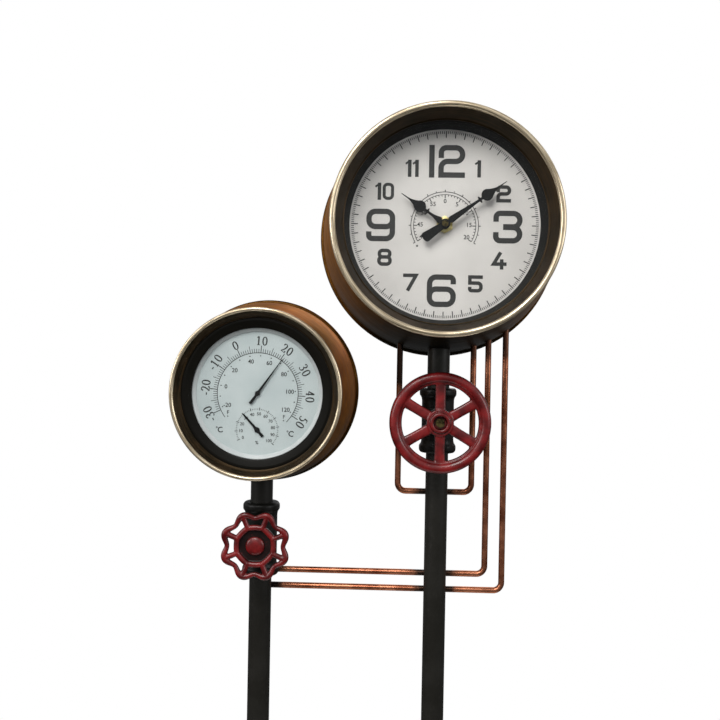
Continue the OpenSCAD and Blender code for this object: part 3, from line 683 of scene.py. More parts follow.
WHITE_PLASTIC = moulded_plastic("white_moulding", rgb(206, 203, 195), rgb(224, 222, 215))
HAND_BLACK = moulded_plastic("hand_enamel", rgb(9, 9, 8), rgb(20, 20, 18), 0.4, gloss=0.25)
STEEL = bare_metal("bare_steel", rgb(108, 106, 102), rgb(188, 188, 186))
BRASS = bare_metal("old_brass", rgb(190, 168, 100), rgb(240, 226, 160))
STAINED_BRASS = bare_metal("stained_brass", rgb(24, 23, 15), rgb(98, 86, 52), 0.4)
SILVER = moulded_plastic("silver_trim", rgb(172, 178, 178), rgb(200, 205, 204), gloss=0.8)
SPRING_BRASS = bare_metal("spring_brass", rgb(140, 112, 62), rgb(196, 168, 110), 0.24)
WIRE = wire_winding("copper_winding")
SLEEVE = battery_sleeve("battery_film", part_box("battery")[1].x - 13 * MM)


# ---------- Stand ----------
POST_BORE = 11.05


def rounded_plate(name, outlines, low, high, bevel):
    """A flat plate with holes: the first outline is its edge, and the others are the holes."""
    curve = bpy.data.curves.new(name, "CURVE")
    curve.dimensions = "2D"
    curve.fill_mode = "BOTH"
    curve.extrude = ((high - low) / 2 - bevel) * MM
    curve.bevel_depth = bevel * MM
    curve.bevel_resolution = 2
    curve.offset = -bevel * MM
    for outline in outlines:
        spline = curve.splines.new("POLY")
        spline.points.add(len(outline) - 1)
        spline.use_cyclic_u = True
        for spot, (x, y) in zip(spline.points, outline):
            spot.co = (x * MM, y * MM, 0, 1)
    mesh = evaluated(placed(name, curve))
    mesh.transform(Matrix.Translation((0, 0, (low + high) / 2 * MM)))
    tidy(mesh)
    return mesh


def base_plate():
    low, high = box_mm("base_plate")
    edge = rounded([(low.x, low.y), (high.x, low.y), (high.x, high.y), (low.x, high.y)], 3)
    anchor_x, anchor_y, anchor_r, bevel = 165, 100, 4.5, 0.8
    holes = []
    for x in (-anchor_x, anchor_x):
        for y in (-anchor_y, anchor_y):
            holes.append([(x + a, y + b) for a, b in circle(anchor_r, 32)][::-1])
    mesh = rounded_plate("base_plate_steel", [edge, *holes], low.z, high.z, bevel)
    piece("base_plate_steel", mesh, Matrix(), IRON, stands_for="base_plate")


def post_flange(name, node):
    """A cast floor flange: a disc with a filleted hub that the post drops into."""
    low, high = box_mm(node)
    disc_r, hub_r, height = (high.x - low.x) / 2, 17, high.z - low.z
    section = [
        (POST_BORE, 0, 0), (disc_r, 0, 0.6), (disc_r, 5, 1.8), (hub_r + 1, 6, 4),
        (hub_r, height, 2), (POST_BORE, height, 0.4),
    ]
    place = Matrix.Translation((middle(node).x, 0, low.z * MM))
    piece(name, spun(section, 96), place, CAST_IRON, stands_for=node)


def pipe(name, node):
    """Steel tube with softened ends and the low weld seam that runs up its back."""
    low, high = box_mm(node)
    outer_r, inner_r, soft, steps = (high.x - low.x) / 2, 9.5, 0.4, 72
    seam, seam_reach = 0.12, 9
    skin = [(outer_r - soft, low.z), (outer_r, low.z + soft),
            (outer_r, high.z - soft), (outer_r - soft, high.z)]
    bore = [(inner_r, high.z), (inner_r, low.z)]
    rings = []
    for i, (x, y) in enumerate(circle(1, steps)):
        from_back = abs((360 * i / steps + 90) % 360 - 180)
        ridge = seam * max(0, 1 - from_back / seam_reach) - seam
        section = [(r + ridge, z) for r, z in skin] + bore
        rings.append([(r * x, r * y, z) for r, z in section])
    place = Matrix.Translation((middle(node).x, 0, 0))
    piece(name, loft(rings, closed=True), place, IRON, stands_for=node)


def pipe_tee(name, node):
    """A cast pipe tee with bead collars on its three mouths."""
    low, high = box_mm(node)
    half, reach = (high.z - low.z) / 2, -low.y
    body_r, collar_r, collar_h, mouth_bore = 15.7, 18, 9, 9.05
    side = [
        (POST_BORE, half, 0), (collar_r - 1.6, half, 1), (collar_r, half - 2.2, 2),
        (collar_r, half - collar_h + 2.2, 2), (body_r + 0.6, half - collar_h, 1.5),
        (body_r, half - collar_h - 3, 2),
    ]
    run = spun(side + [(r, -z, corner) for r, z, corner in reversed(side)], 96)
    mouth = [
        (mouth_bore, 10, 0), (12, 10, 0), (12, reach - 6, 1.5), (14, reach - 4.2, 1.2),
        (14, reach - 1, 1.2), (13, reach, 0.5), (mouth_bore, reach, 0),
    ]
    branch = moved(spun(mouth, 72), Matrix.Rotation(math.radians(90), 4, "X"))
    skin = cast(name, merged(run, branch), 0.6, 4)
    piece(name, skin, upright(node), CAST_IRON, stands_for=node, crease=180)


def packing_nut(name, node):
    """The nut on a tee's mouth, with the spigot that goes in, round the valve's stem."""
    stem_r, flats, nut_back = 3.55, 20, 23
    nut = hex_nut(flats, nut_back, front(node), stem_r)
    spigot = stub(9, back(node), nut_back + 0.5, 64, stem_r)
    piece(name, merged(nut, spigot), facing(node), FASTENER, stands_for=node)


def rod(name, node, two_legs):
    """A bent rod: a level run with one or two legs that go up into the clock's case."""
    low, high = box_mm(node)
    rod_r, bend_r = (high.y - low.y) / 2, 8
    depth, bottom, right = (low.y + high.y) / 2, low.z + rod_r, high.x - rod_r
    corners = [(right, depth, high.z), (right, depth, bottom)]
    if two_legs:
        corners += [(low.x + rod_r, depth, bottom), (low.x + rod_r, depth, high.z)]
    else:
        corners += [(low.x, depth, bottom)]
    path = rounded(corners, bend_r, closed=False, step=7)
    piece(name, tube(path, rod_r, 28), Matrix(), COPPER, stands_for=node)


# ---------- Heads ----------

def wall_radius(front_r, back_r, t, bulge=2.2):
    return front_r + (back_r - front_r) * t + 4 * bulge * t * (1 - t)


def drum(name, node, material, front_r, place):
    """A round case: a bowed wall, a rim rolled over wire at the back and a flange inside it."""
    roll_r, wall, flange_in, steps = 2.5, 1.2, 11, 14
    back_r = radius(node)
    front_z = front(node)
    back_z = back(node) + roll_r
    wall_back_r = back_r - roll_r - 0.4
    line = [
        (wall_radius(front_r, wall_back_r, i / steps), front_z + (back_z - front_z) * i / steps)
        for i in range(steps + 1)
    ]
    flange_z = back_z + 2
    inner = [(r - wall, z) for r, z in line if z > flange_z + wall + 0.5]
    flange = [
        (wall_back_r - wall, flange_z + wall), (wall_back_r - flange_in, flange_z + wall),
        (wall_back_r - flange_in, flange_z), (wall_back_r - wall, flange_z), (wall_back_r - wall, back_z),
    ]
    shell = lathe(line + flange[::-1] + inner[::-1])
    roll = lathe([(back_r - roll_r + x, back_z + y) for x, y in circle(roll_r, 20)])
    piece(name, merged(shell, roll), place, material, stands_for=node, crease=50)


def bead_ring(name, node, place, bead_r):
    """The polished bead round a bezel's mouth, a little flattened in front."""
    centre_r, centre_z = radius(node) - bead_r, front(node) - bead_r
    section = [(centre_r + x, centre_z + y * (0.94 if y > 0 else 1)) for x, y in circle(bead_r, 28)]
    piece(name, lathe(section), place, GOLD, stands_for=node)


def back_cover(name, node, place):
    """A pressed cover with a raised middle and a stiffening ring."""
    cover_r, outer_z, lift, dip = radius(node), back(node), 1.5, 0.45
    gauge = front(node) - outer_z
    steps = [(0, 0), (21, 0), (25, lift), (48, lift), (51, dip), (56, dip), (59, lift), (cover_r, lift)]
    outer = rounded([(cover_r - inwards, outer_z - rise) for inwards, rise in steps], 2.5, closed=False)
    inner = [(r, z + gauge) for r, z in outer]
    piece(name, lathe(outer + inner[::-1], 160), place, IRON, stands_for=node, crease=50)


def petal_half(y, base, far, taper):
    """Half the width of a hand's petal: round at its base, then tapering to the collar."""
    full_half, end_half = 3.2, 1.1
    widest = base + 2.8
    if y < widest:
        return full_half * math.sqrt(max(0.16, 1 - ((widest - y) / 2.9) ** 2))
    return end_half + (full_half - end_half) * (1 - (y - widest) / (far - widest)) ** taper


def swelling(distance, half_length, half_width):
    """Half the width of a round swelling at a distance from its middle, and 0 past its ends."""
    return half_width * math.sqrt(max(0, 1 - (distance / half_length) ** 2))


def hand_profile(tip, bulb, tail, tail_half, taper):
    """Half widths of a spade hand along its length, from tail to tip."""
    hub_r, bulb_r, collar_half, neck_half = 4.6, 5.4, 3.4, 1.3
    bar_half, needle_half, tip_half = 2.7, 0.55, 0.3
    petal, collar, spade, needle = 4.2, bulb - 8, bulb + 2.8, bulb + 15
    count = round((tip + tail) / 0.35)
    profile = []
    for i in range(count + 1):
        y = -tail + (tip + tail) * i / count
        halves = [
            tip_half, swelling(y, hub_r, hub_r), swelling(y - collar, 1.1, collar_half),
            swelling(y - bulb, bulb_r, bulb_r),
        ]
        if y < 0:
            bar = bar_half + (tail_half - bar_half) * min(1, -y / (tail - 4))
            halves.append(swelling(max(0, -y - (tail - 3)), 3, bar))
        if petal <= y < collar:
            halves.append(petal_half(y, petal, collar, taper))
        if collar <= y < bulb:
            halves.append(neck_half)
        if spade <= y < needle:
            halves.append(needle_half + 4.0 * ((needle - y) / (needle - spade)) ** 2)
        if y >= needle:
            halves.append(needle_half - 0.25 * (y - needle) / (tip - needle))
        profile.append((y, max(halves)))
    return profile


def clock_hand(name, node, angle, tip, bulb, tail, tail_half, taper):
    shape = blade(hand_profile(tip, bulb, tail, tail_half, taper), back(node), front(node))
    if node == "minute_hand":
        low, high = front(node) - 0.1, front(node) + 0.35
        shape = merged(shape, lathe([(1.7, low), (3.4, low), (3.1, high), (1.7, high)], 48))
    piece(name, turned(shape, angle), CLOCK, HAND_BLACK, node + "_set", node, crease=25)


def pointer(name, node, pivot, angle, z, length, tail, hub_r):
    """A needle on its arbor: a fine blade, a diamond swelling at the hub and a round boss."""
    profile = []
    count = 120
    for i in range(count + 1):
        y = -tail + (length + tail) * i / count
        half = 0.42 + 0.85 * max(0, 1 - y / 32) if y > 0 else 1.0 + 0.5 * -y / tail
        half = max(half, hub_r * 0.95 * max(0, 1 - abs(y) / (1.7 * hub_r)))
        if y > length - 2:
            half *= max(0.15, (length - y) / 2)
        profile.append((y, half))
    boss = [(0, z + 0.9, 0), (0.55 * hub_r, z + 0.9, 0.3), (0.6 * hub_r, z, 0), (0, z, 0)]
    arbor = stub(0.8, back(node), z + 0.1, 24)
    shape = merged(blade(profile, z, z + 0.4, 0.1), spun(boss, 40), arbor)
    place = THERMOMETER @ Matrix.Translation((pivot[0] * MM, pivot[1] * MM, 0))
    piece(name, turned(shape, angle), place, HAND_BLACK, node + "_set", node)


# ---------- Printing on the dials, drawn at height 0 ----------
PRINT_T = 0.07

# Strokes of each digit in a unit box: (closed, [(x, y, corner is round)]). -1 and 2 mean the very edge.
DIGITS = {
    "0": [(True, [(0, 0, 1), (1, 0, 1), (1, 1, 1), (0, 1, 1)])],
    "1": [(False, [(1, -1, 0), (1, 2, 0)])],
    "2": [(False, [(0, 0.62, 0), (0, 1, 1), (1, 1, 1), (1, 0.5, 1), (0, 0.5, 1), (0, 0, 0), (2, 0, 0)])],
    "3": [(False, [(0, 0.69, 0), (0, 1, 1), (1, 1, 1), (1, 0.51, 1), (0.3, 0.51, 0)]),
          (False, [(0.3, 0.49, 0), (1, 0.49, 1), (1, 0, 1), (0, 0, 1), (0, 0.31, 0)])],
    "4": [(False, [(0.62, 2, 0), (0, 0.27, 0), (2, 0.27, 0)]), (False, [(0.72, 0.62, 0), (0.72, -1, 0)])],
    "5": [(False, [(2, 1, 0), (0, 1, 0), (0, 0.56, 0), (1, 0.56, 1), (1, 0, 1), (0, 0, 1), (0, 0.28, 0)])],
    "6": [(False, [(1, 0.74, 0), (1, 1, 1), (0, 1, 1), (0, 0.4, 0)]),
          (True, [(0, 0, 1), (1, 0, 1), (1, 0.56, 1), (0, 0.56, 1)])],
    "7": [(False, [(-1, 1, 0), (1, 1, 0), (0.25, -1, 0)])],
    "8": [(True, [(0.03, 0.52, 1), (0.97, 0.52, 1), (0.97, 1, 1), (0.03, 1, 1)]),
          (True, [(0, 0, 1), (1, 0, 1), (1, 0.52, 1), (0, 0.52, 1)])],
}
DIGITS["9"] = [(closed, [(1 - x, 1 - y, soft) for x, y, soft in path]) for closed, path in DIGITS["6"]]

# Where each hour stands on the dial
HOURS = {
    1: (29.8, 52.0), 2: (53.8, 29.2), 3: (58.1, -1.3), 4: (50.8, -32.6),
    5: (29.3, -54.1), 6: (-2.0, -60.9), 7: (-30.7, -53.4), 8: (-55.0, -30.7),
    9: (-59.1, -0.9), 10: (-55.9, 30.3), 11: (-30.9, 51.8), 12: (1.2, 58.6),
}


def stroke(path, width, lift=0.0, closed=False):
    """A printed line. One that crosses another is lifted a hair above it."""
    return band(path, width, 0, PRINT_T + lift, closed)


def digit(character, centre, width, height, pen):
    """One digit drawn with strokes of even width in a box; later strokes lie a hair higher."""
    room_x, room_y = width - pen, height - pen
    edge_x, edge_y = pen / 2 / max(room_x, 0.1), pen / 2 / room_y
    corner_r = min(0.5 * room_x, 0.24 * room_y)
    shapes = []
    for closed, path in DIGITS[character]:
        points = []
        for x, y, _ in path:
            x, y = min(max(x, -edge_x), 1 + edge_x), min(max(y, -edge_y), 1 + edge_y)
            points.append((centre[0] + (x - 0.5) * room_x, centre[1] + (y - 0.5) * room_y))
        radii = [corner_r if soft else 0 for _, _, soft in path]
        shapes.append(stroke(rounded(points, radii, closed, 12), pen, 0.03 * len(shapes), closed))
    if character == "1" and room_x > 0.5:
        flag = [(centre[0] - width / 2, centre[1] + 0.26 * height),
                (centre[0] + 0.2 * width, centre[1] + 0.43 * height)]
        shapes.append(stroke(flag, 0.55 * pen, 0.03))
    return shapes


def hour_numerals():
    """Big 12, 3, 6 and 9, and the other hours at half that height."""
    shapes = []
    for hour, (middle_x, middle_y) in HOURS.items():
        big = hour % 3 == 0
        height, wide, pen, bar, gap = (30.2, 26.8, 5.0, 5.0, 3.6) if big else (15.9, 13.6, 3.3, 5.4, 1.3)
        widths = {"1": bar, "0": 10.6, "2": 24.6 if big else wide}
        sizes = [widths.get(character, wide) for character in str(hour)]
        x = middle_x - (sum(sizes) + gap * (len(sizes) - 1)) / 2
        for character, size in zip(str(hour), sizes):
            thickness = min(pen, 2.9) if character == "0" else pen
            shapes += digit(character, (x + size / 2, middle_y), size, height, thickness)
            x += size + gap
    return merged(*shapes)


def ticks(angles, inner_r, outer_r, width):
    return merged(*[stroke([on_dial(inner_r, a), on_dial(outer_r, a)], width) for a in angles])


def ring_line(r, start, end, width):
    """A line along part of a circle, from one angle to another."""
    count = max(24, round(abs(end - start) / 3))
    return stroke([on_dial(r, start + (end - start) * i / count) for i in range(count + 1)], width, 0.02)


def dot(r, angle, dot_r):
    return shifted(stub(dot_r, 0, PRINT_T, 16), *on_dial(r, angle))


def clock_fine_printing():
    """The minute track and the seconds arc, without any maker's words."""
    track_r, arc_r, inner_r, number_r, arc_y, five_seconds = 86.4, 31.2, 28.7, 22.8, -0.8, 29.2
    track = [
        ticks([6 * i for i in range(60)], track_r - 6.2, track_r, 0.9),
        ticks([1.2 * i for i in range(300) if i % 5], track_r - 2.5, track_r, 0.62),
    ]
    arc = [
        ring_line(arc_r, -120, 120, 0.65),
        ring_line(inner_r, -120, 120, 0.55),
        ticks(range(-120, 121, 30), arc_r, arc_r + 2, 0.8),
        ticks(range(-105, 106, 30), arc_r, arc_r + 1.7, 0.6),
        ticks([a for a in range(-120, 121, 6) if a % 30], inner_r - 1.7, inner_r, 0.6),
        ticks(range(-120, 121, 30), inner_r - 3.3, inner_r, 0.85),
        dot(arc_r + 0.3, -127, 0.95),
    ]
    for i in range(-4, 5):
        arc.append(words(str(i * 5 % 60), 3.9, on_dial(number_r, five_seconds * i)))
    return merged(*track, shifted(merged(*arc), 0, arc_y))


def celsius_angle(value):
    """Where a temperature lies on the dial, clockwise from the top."""
    at_ten, degrees_each = 3.6, 2.965
    return at_ten + (value - 10) * degrees_each


def humidity_angle(value):
    at_zero, degrees_each = -119, 2.5
    return at_zero + value * degrees_each


# The path of a broad pen for each character, in a box one wide and one high
PEN_STROKES = {
    "-": [[(0.4, 0.37), (1.2, 0.37)], [(0.4, 0.31), (1.2, 0.31)]],
    "0": [[(0.5, 1), (0.14, 0.84), (0.02, 0.5), (0.14, 0.16), (0.5, 0),
           (0.86, 0.16), (0.98, 0.5), (0.86, 0.84), (0.5, 1)]],
    "1": [[(0.12, 0.84), (0.52, 1)], [(0.52, 1), (0.52, 0)], [(0.12, 0), (0.92, 0)]],
    "2": [[(0.04, 0.76), (0.2, 0.95), (0.5, 1), (0.84, 0.86), (0.8, 0.6), (0.48, 0.28), (0.04, 0.04)],
          [(0.02, 0.03), (0.5, 0.03), (0.94, 0.03), (1.02, 0.22)]],
    "3": [[(0.08, 0.82), (0.24, 0.97), (0.5, 1), (0.82, 0.84), (0.7, 0.61), (0.34, 0.52)],
          [(0.34, 0.52), (0.74, 0.46), (0.95, 0.26), (0.72, 0.04), (0.36, 0), (0.04, 0.1)]],
    "4": [[(0.68, 0.98), (0.02, 0.28)], [(0.02, 0.28), (1.02, 0.28)],
          [(0.7, 1), (0.7, 0)], [(0.46, 0), (0.94, 0)]],
    "5": [[(0.94, 1), (0.28, 1)], [(0.28, 1), (0.14, 0.58)],
          [(0.14, 0.58), (0.6, 0.6), (0.95, 0.34), (0.74, 0.06), (0.36, 0), (0.02, 0.1)]],
}


def pen_path(points, steps=6):
    """A smooth path through the points of one stroke."""
    points = [Vector(p) for p in points]
    last = len(points) - 1
    if last == 1:
        return points
    path = []
    for i in range(last):
        a, b, c, d = points[max(i - 1, 0)], points[i], points[i + 1], points[min(i + 2, last)]
        for k in range(steps):
            t = k / steps
            bend = (2 * a - 5 * b + 4 * c - d) * t ** 2 + (3 * b - a - 3 * c + d) * t ** 3
            path.append(b + 0.5 * ((c - a) * t + bend))
    return path + [points[last]]


def serif_number(text, height, at, clockwise):
    """A number in thick and thin strokes with its middle at a point of the dial."""
    widths = [0.36 if character == "-" else 0.48 for character in text]
    gap, pen = 0.27, (0.165 * height, 0.07 * height)
    x = -(sum(widths) + gap * (len(text) - 1)) / 2
    shapes = []
    for character, width in zip(text, widths):
        for i, line in enumerate(PEN_STROKES[character]):
            path = [Vector((x + across * width, up - 0.5)) * height for across, up in pen_path(line)]
            shapes.append(stroke(path, pen, 0.03 * i))
        x += width + gap
    return shifted(turned(merged(*shapes), clockwise), *at)


def thermometer_numbers():
    number_r, letter_r = 49.6, 49.3
    shapes = []
    for t in range(-30, 51, 10):
        angle = celsius_angle(t)
        shapes.append(serif_number(str(t), 7.9, on_dial(number_r, angle), angle))
    for side in (-1, 1):
        at = on_dial(letter_r, 2.2 + side * 137.2)
        shapes.append(words("C", 5.2, at, side * 8, weight=0.2))
        degree = [at + Vector((-3.3, 2.2)) + Vector(p) for p in circle(0.65, 16)]
        shapes.append(stroke(degree, 0.45, closed=True))
    return merged(*shapes)


def thermometer_scales():
    """The Celsius ticks outside the scale's line, and the Fahrenheit dots and numbers inside it."""
    line_r, dot_r, fahrenheit_r, letter_r = 38.2, 35.5, 30.7, 33.2
    shapes = [ring_line(line_r, celsius_angle(-34), celsius_angle(54), 0.6)]
    for t in range(-30, 51):
        length, width = (3.8, 0.5) if t % 5 else (6.6, 0.5) if t % 10 else (6.9, 0.75)
        shapes.append(ticks([celsius_angle(t)], line_r, line_r + length, width))
    for fahrenheit in range(-30, 131, 10):
        angle = celsius_angle((fahrenheit - 32) / 1.8)
        shapes.append(dot(dot_r, angle, 0.6))
        if fahrenheit % 20 == 0 and -20 <= fahrenheit <= 120:
            shapes.append(words(str(fahrenheit), 3.9, on_dial(fahrenheit_r, angle)))
    for side in (-1, 1):
        shapes.append(words("F", 3.4, on_dial(letter_r, celsius_angle(10) + side * 127)))
    return merged(*shapes)


def humidity_scale():
    number_r, sign_r = 15.2, 12
    shapes = [words("%", 3.2, on_dial(sign_r, 180), weight=0.1)]
    for h in range(0, 101, 2):
        inner_r, outer_r, width = (18.9, 20.2, 0.45) if h % 10 else (18.4, 21.2, 0.7)
        shapes.append(ticks([humidity_angle(h)], inner_r, outer_r, width))
    for h in range(0, 101, 10):
        shapes.append(words(str(h), 2.9, on_dial(number_r, humidity_angle(h))))
    return merged(*shapes)


# ---------- Handwheels ----------
WHEEL_BORE = 3.52


def flat_spoke(angle, start_r, end_r, halves, z):
    """A spoke with a soft rectangular section that widens a little towards its ends."""
    half_width, half_depth = halves
    rings = []
    count, sides = 14, 28
    for i in range(count + 1):
        t = i / count
        grow = 1 + 0.12 * abs(2 * t - 1) ** 2
        end = min(1, (1 - t) / 0.07 + 0.55)
        ring = []
        for c, s in circle(1, sides):
            across = math.copysign(abs(c) ** 0.55, c) * half_width * grow * end
            deep = math.copysign(abs(s) ** 0.75, s) * half_depth * end
            ring.append((start_r + (end_r - start_r) * t, across, z + deep))
        rings.append(ring)
    return turned(loft(rings), angle)


def large_handwheel():
    node = "large_handwheel"
    rim_z, rim_half_w, rim_half_d = 36, 5, 4.9
    rim_r = radius(node) - rim_half_w
    rim = lathe([(rim_r + rim_half_w * x, rim_z + rim_half_d * y) for x, y in circle(1, 32)], 180)
    lip = lathe([(rim_r - 5.5 + 1.3 * x, rim_z - 0.8 + 2.8 * y) for x, y in circle(1, 20)], 180)
    hub = [
        (WHEEL_BORE, back(node), 0), (11.5, back(node), 1), (13, rim_z - 4, 1), (12.7, rim_z + 2.9, 1),
        (9.9, rim_z + 2.4, 0.6), (9.6, rim_z + 4.8, 1.5), (6.4, rim_z + 4.8, 1.3), (6.1, rim_z - 0.6, 0.4),
        (WHEEL_BORE, rim_z - 0.6, 0),
    ]
    spokes = [flat_spoke(30 + 60 * i, 8.5, rim_r - 4, (4.8, 3), rim_z - 1.2) for i in range(6)]
    skin = cast("large_wheel_casting", merged(rim, lip, spun(hub, 96), *spokes), 0.5, 3)
    piece("large_wheel_casting", skin, facing(node), LARGE_RED, "large_wheel_set", node, 180)


def small_handwheel():
    node = "small_handwheel"
    mid_z, lobes, first_lobe = 39, 8, math.radians(22.5)
    dip_r, tip_r, thin, thick = 26.5, 30.9, 2.3, 3.1
    path, radii = [], []
    for x, y in circle(1, 240):
        share = abs(math.cos(lobes / 2 * (math.atan2(y, x) - first_lobe))) ** 1.9
        r = dip_r + (tip_r - dip_r) * share
        path.append((r * x, r * y, mid_z + 0.5 * share - 0.6))
        radii.append(thin + (thick - thin) * share)
    rim = tube(path, radii, 20, closed=True)
    ring_r, ring_half, side = 17.5, 2.8, 2 * math.pi / lobes
    ring_path = []
    for x, y in circle(1, 160):
        flat = ring_r / math.cos((math.atan2(y, x) + side / 2) % side - side / 2)
        soft = 0.5 * flat + 0.5 * ring_r
        ring_path.append((soft * x, soft * y, mid_z - 0.9))
    ring = tube(ring_path, ring_half, 20, closed=True)
    spokes = []
    for i in range(lobes):
        angle = first_lobe + i * side
        ends = [(r * math.cos(angle), r * math.sin(angle), mid_z - 0.4) for r in (17, 21.5, 26, 30.5)]
        spokes.append(tube(ends, [2.6, 2.6, 2.75, 3.1], 20))
    web = stub(15.6, mid_z - 5, mid_z - 2.6, 96)
    hub = stub(8, back(node), mid_z - 3, 64, WHEEL_BORE)
    skin = cast("small_wheel_casting", merged(rim, ring, web, hub, *spokes), 0.4, 3)
    piece("small_wheel_casting", skin, facing(node), SMALL_RED, "small_wheel_set", node, 180)


def small_wheel_cap():
    node = "small_wheel_cap"
    low, high = 36.5, front(node)
    dome = [
        (0, high, 0), (4.5, high - 0.2, 6), (7.6, high - 1.2, 3), (9, high - 2.6, 1.5),
        (9, low, 0.3), (0, low, 0),
    ]
    shape = merged(spun(dome, 96), stub(1.75, back(node), low + 0.1, 32))
    piece("small_wheel_dome", shape, facing(node), SMALL_RED, "small_wheel_set", node)


# ---------- Building it ----------
base_plate()
post_flange("tall_floor_flange", "tall_post_flange")
post_flange("short_floor_flange", "short_post_flange")
for side in ("tall", "short"):
    pipe(f"{side}_lower_tube", f"{side}_post_lower_pipe")
    pipe(f"{side}_upper_tube", f"{side}_post_upper_pipe")
    pipe_tee(f"{side}_tee_casting", f"{side}_post_tee")
    packing_nut(f"{side}_gland_nut", f"{side}_packing_nut")
rod("u_rod_bent", "u_rod", two_legs=True)
rod("inner_rod_bent", "inner_loop_rod", two_legs=False)
rod("outer_rod_bent", "outer_loop_rod", two_legs=False)

# The clock's head
bezel_r, bezel_z = radius("clock_bezel"), front("clock_bezel")
glass_front, glass_back, seat_r = front("clock_glass"), back("clock_glass"), radius("clock_glass")
dial_z = front("clock_dial")
drum("clock_drum", "clock_case", CLOCK_BRONZE, bezel_r - 1.6, CLOCK)
bead_ring("clock_bead", "clock_bezel", CLOCK, 2.8)
funnel = spun([
    (bezel_r - 4.6, bezel_z - 4.4, 0.5), (bezel_r - 5.2, bezel_z - 2.2, 0.8),
    (93.5, glass_front + 1.6, 1.5), (92.2, glass_front + 0.9, 0.4), (92.2, glass_front, 0.2),
    (seat_r + 0.05, glass_front, 0), (seat_r + 0.05, dial_z - 1.2, 0),
    (seat_r + 1.2, dial_z - 1.2, 0), (seat_r + 1.2, glass_front + 4, 0),
])
piece("clock_funnel", funnel, CLOCK, FUNNEL, stands_for="clock_bezel")
spacer = spun([
    (92.6, glass_back, 0.4), (seat_r, glass_back, 0), (seat_r, dial_z, 0),
    (88, dial_z, 0.2), (88.2, dial_z + 1.1, 0.5),
])
piece("clock_spacer", spacer, CLOCK, BLACK_PLASTIC, stands_for="clock_spacer_ring")
back_cover("clock_rear_cover", "clock_back_cover", CLOCK)
piece("clock_numerals", shifted(hour_numerals(), 0, 0, dial_z), CLOCK, INK)
piece("clock_fine_print", shifted(clock_fine_printing(), 0, 0, dial_z), CLOCK, FINE_INK)
dial_nut = hex_nut(14, dial_z, front("movement_nut"), 4.15)
piece("dial_fixing_nut", dial_nut, CLOCK, BRASS, stands_for="movement_nut")
hand_nut = hex_nut(5.5, back("hand_nut"), front("hand_nut"), 1.61, 0.3)
piece("hand_fixing_nut", hand_nut, CLOCK, STAINED_BRASS, "minute_hand_set", "hand_nut")
# The hands stand at angles clockwise from the top
clock_hand("minute_spade", "minute_hand", 54.7, tip=68, bulb=46.5, tail=24.5, tail_half=4.7, taper=1.15)
clock_hand("hour_spade", "hour_hand", 304.5, tip=49, bulb=28, tail=4.6, tail_half=2.7, taper=2.6)

# The thermometer's head
rim_r, rim_z = radius("thermometer_bezel"), front("thermometer_bezel")
lens_z, lens_back, lens_r = front("insert_lens"), back("insert_lens"), 63.55
card_z = front("thermometer_dial")
insert_r, insert_z = radius("insert_ring"), front("insert_ring")
shown_r, cup_r = 60.5, 66.05
drum("thermometer_drum", "thermometer_case", THERMOMETER_BRONZE, rim_r - 1.5, THERMOMETER)
bead_ring("thermometer_bead", "thermometer_bezel", THERMOMETER, 2)
funnel = spun([
    (rim_r - 3.4, rim_z - 3.2, 0.5), (rim_r - 3.9, rim_z - 1.7, 0.7), (insert_r + 1.2, rim_z - 8, 1.2),
    (insert_r + 0.05, rim_z - 8.4, 0.3), (insert_r + 0.05, rim_z - 20, 0), (insert_r + 1.3, rim_z - 20, 0),
    (insert_r + 1.3, rim_z - 12, 0),
])
piece("thermometer_funnel", funnel, THERMOMETER, FUNNEL, stands_for="thermometer_bezel")
insert = spun([
    (insert_r, insert_z, 0.3), (insert_r - 2.5, insert_z + 0.1, 1.2), (shown_r + 2.2, lens_z + 1.0, 0.8),
    (shown_r + 1, lens_z + 0.5, 0.2), (shown_r + 1, lens_z, 0), (lens_r, lens_z, 0),
    (lens_r, lens_back, 0), (cup_r, lens_back, 0), (cup_r, lens_z - 10, 0), (insert_r, lens_z - 10, 0),
])
piece("insert_bezel", insert, THERMOMETER, BLACK_PLASTIC, stands_for="insert_ring")
lip = spun([
    (shown_r + 0.6, lens_back, 0.5), (64, lens_back, 0), (64, card_z, 0),
    (58, card_z, 0.1), (58.1, card_z + 0.7, 0.4),
])
piece("silver_lip", lip, THERMOMETER, SILVER, stands_for="dial_lip_ring")
back_cover("thermometer_rear_cover", "thermometer_back_cover", THERMOMETER)
humidity_pivot = (0, -34.4)
numbers = shifted(thermometer_numbers(), 0, 0, card_z)
scales = shifted(thermometer_scales(), 0, 0, card_z)
humidity_print = shifted(humidity_scale(), *humidity_pivot, card_z)
piece("temperature_numbers", numbers, THERMOMETER, INK)
piece("temperature_scales", scales, THERMOMETER, FINE_INK)
piece("humidity_print", humidity_print, THERMOMETER, FINE_INK)
pointer("temperature_needle", "thermometer_pointer", (0, 0), 35.2, card_z + 1.5,
        length=40.6, tail=11.9, hub_r=2.8)
pointer("humidity_needle", "humidity_pointer", humidity_pivot, -42, card_z + 0.6,
        length=21, tail=8.3, hub_r=3)

large_handwheel()
small_handwheel()
small_wheel_cap()

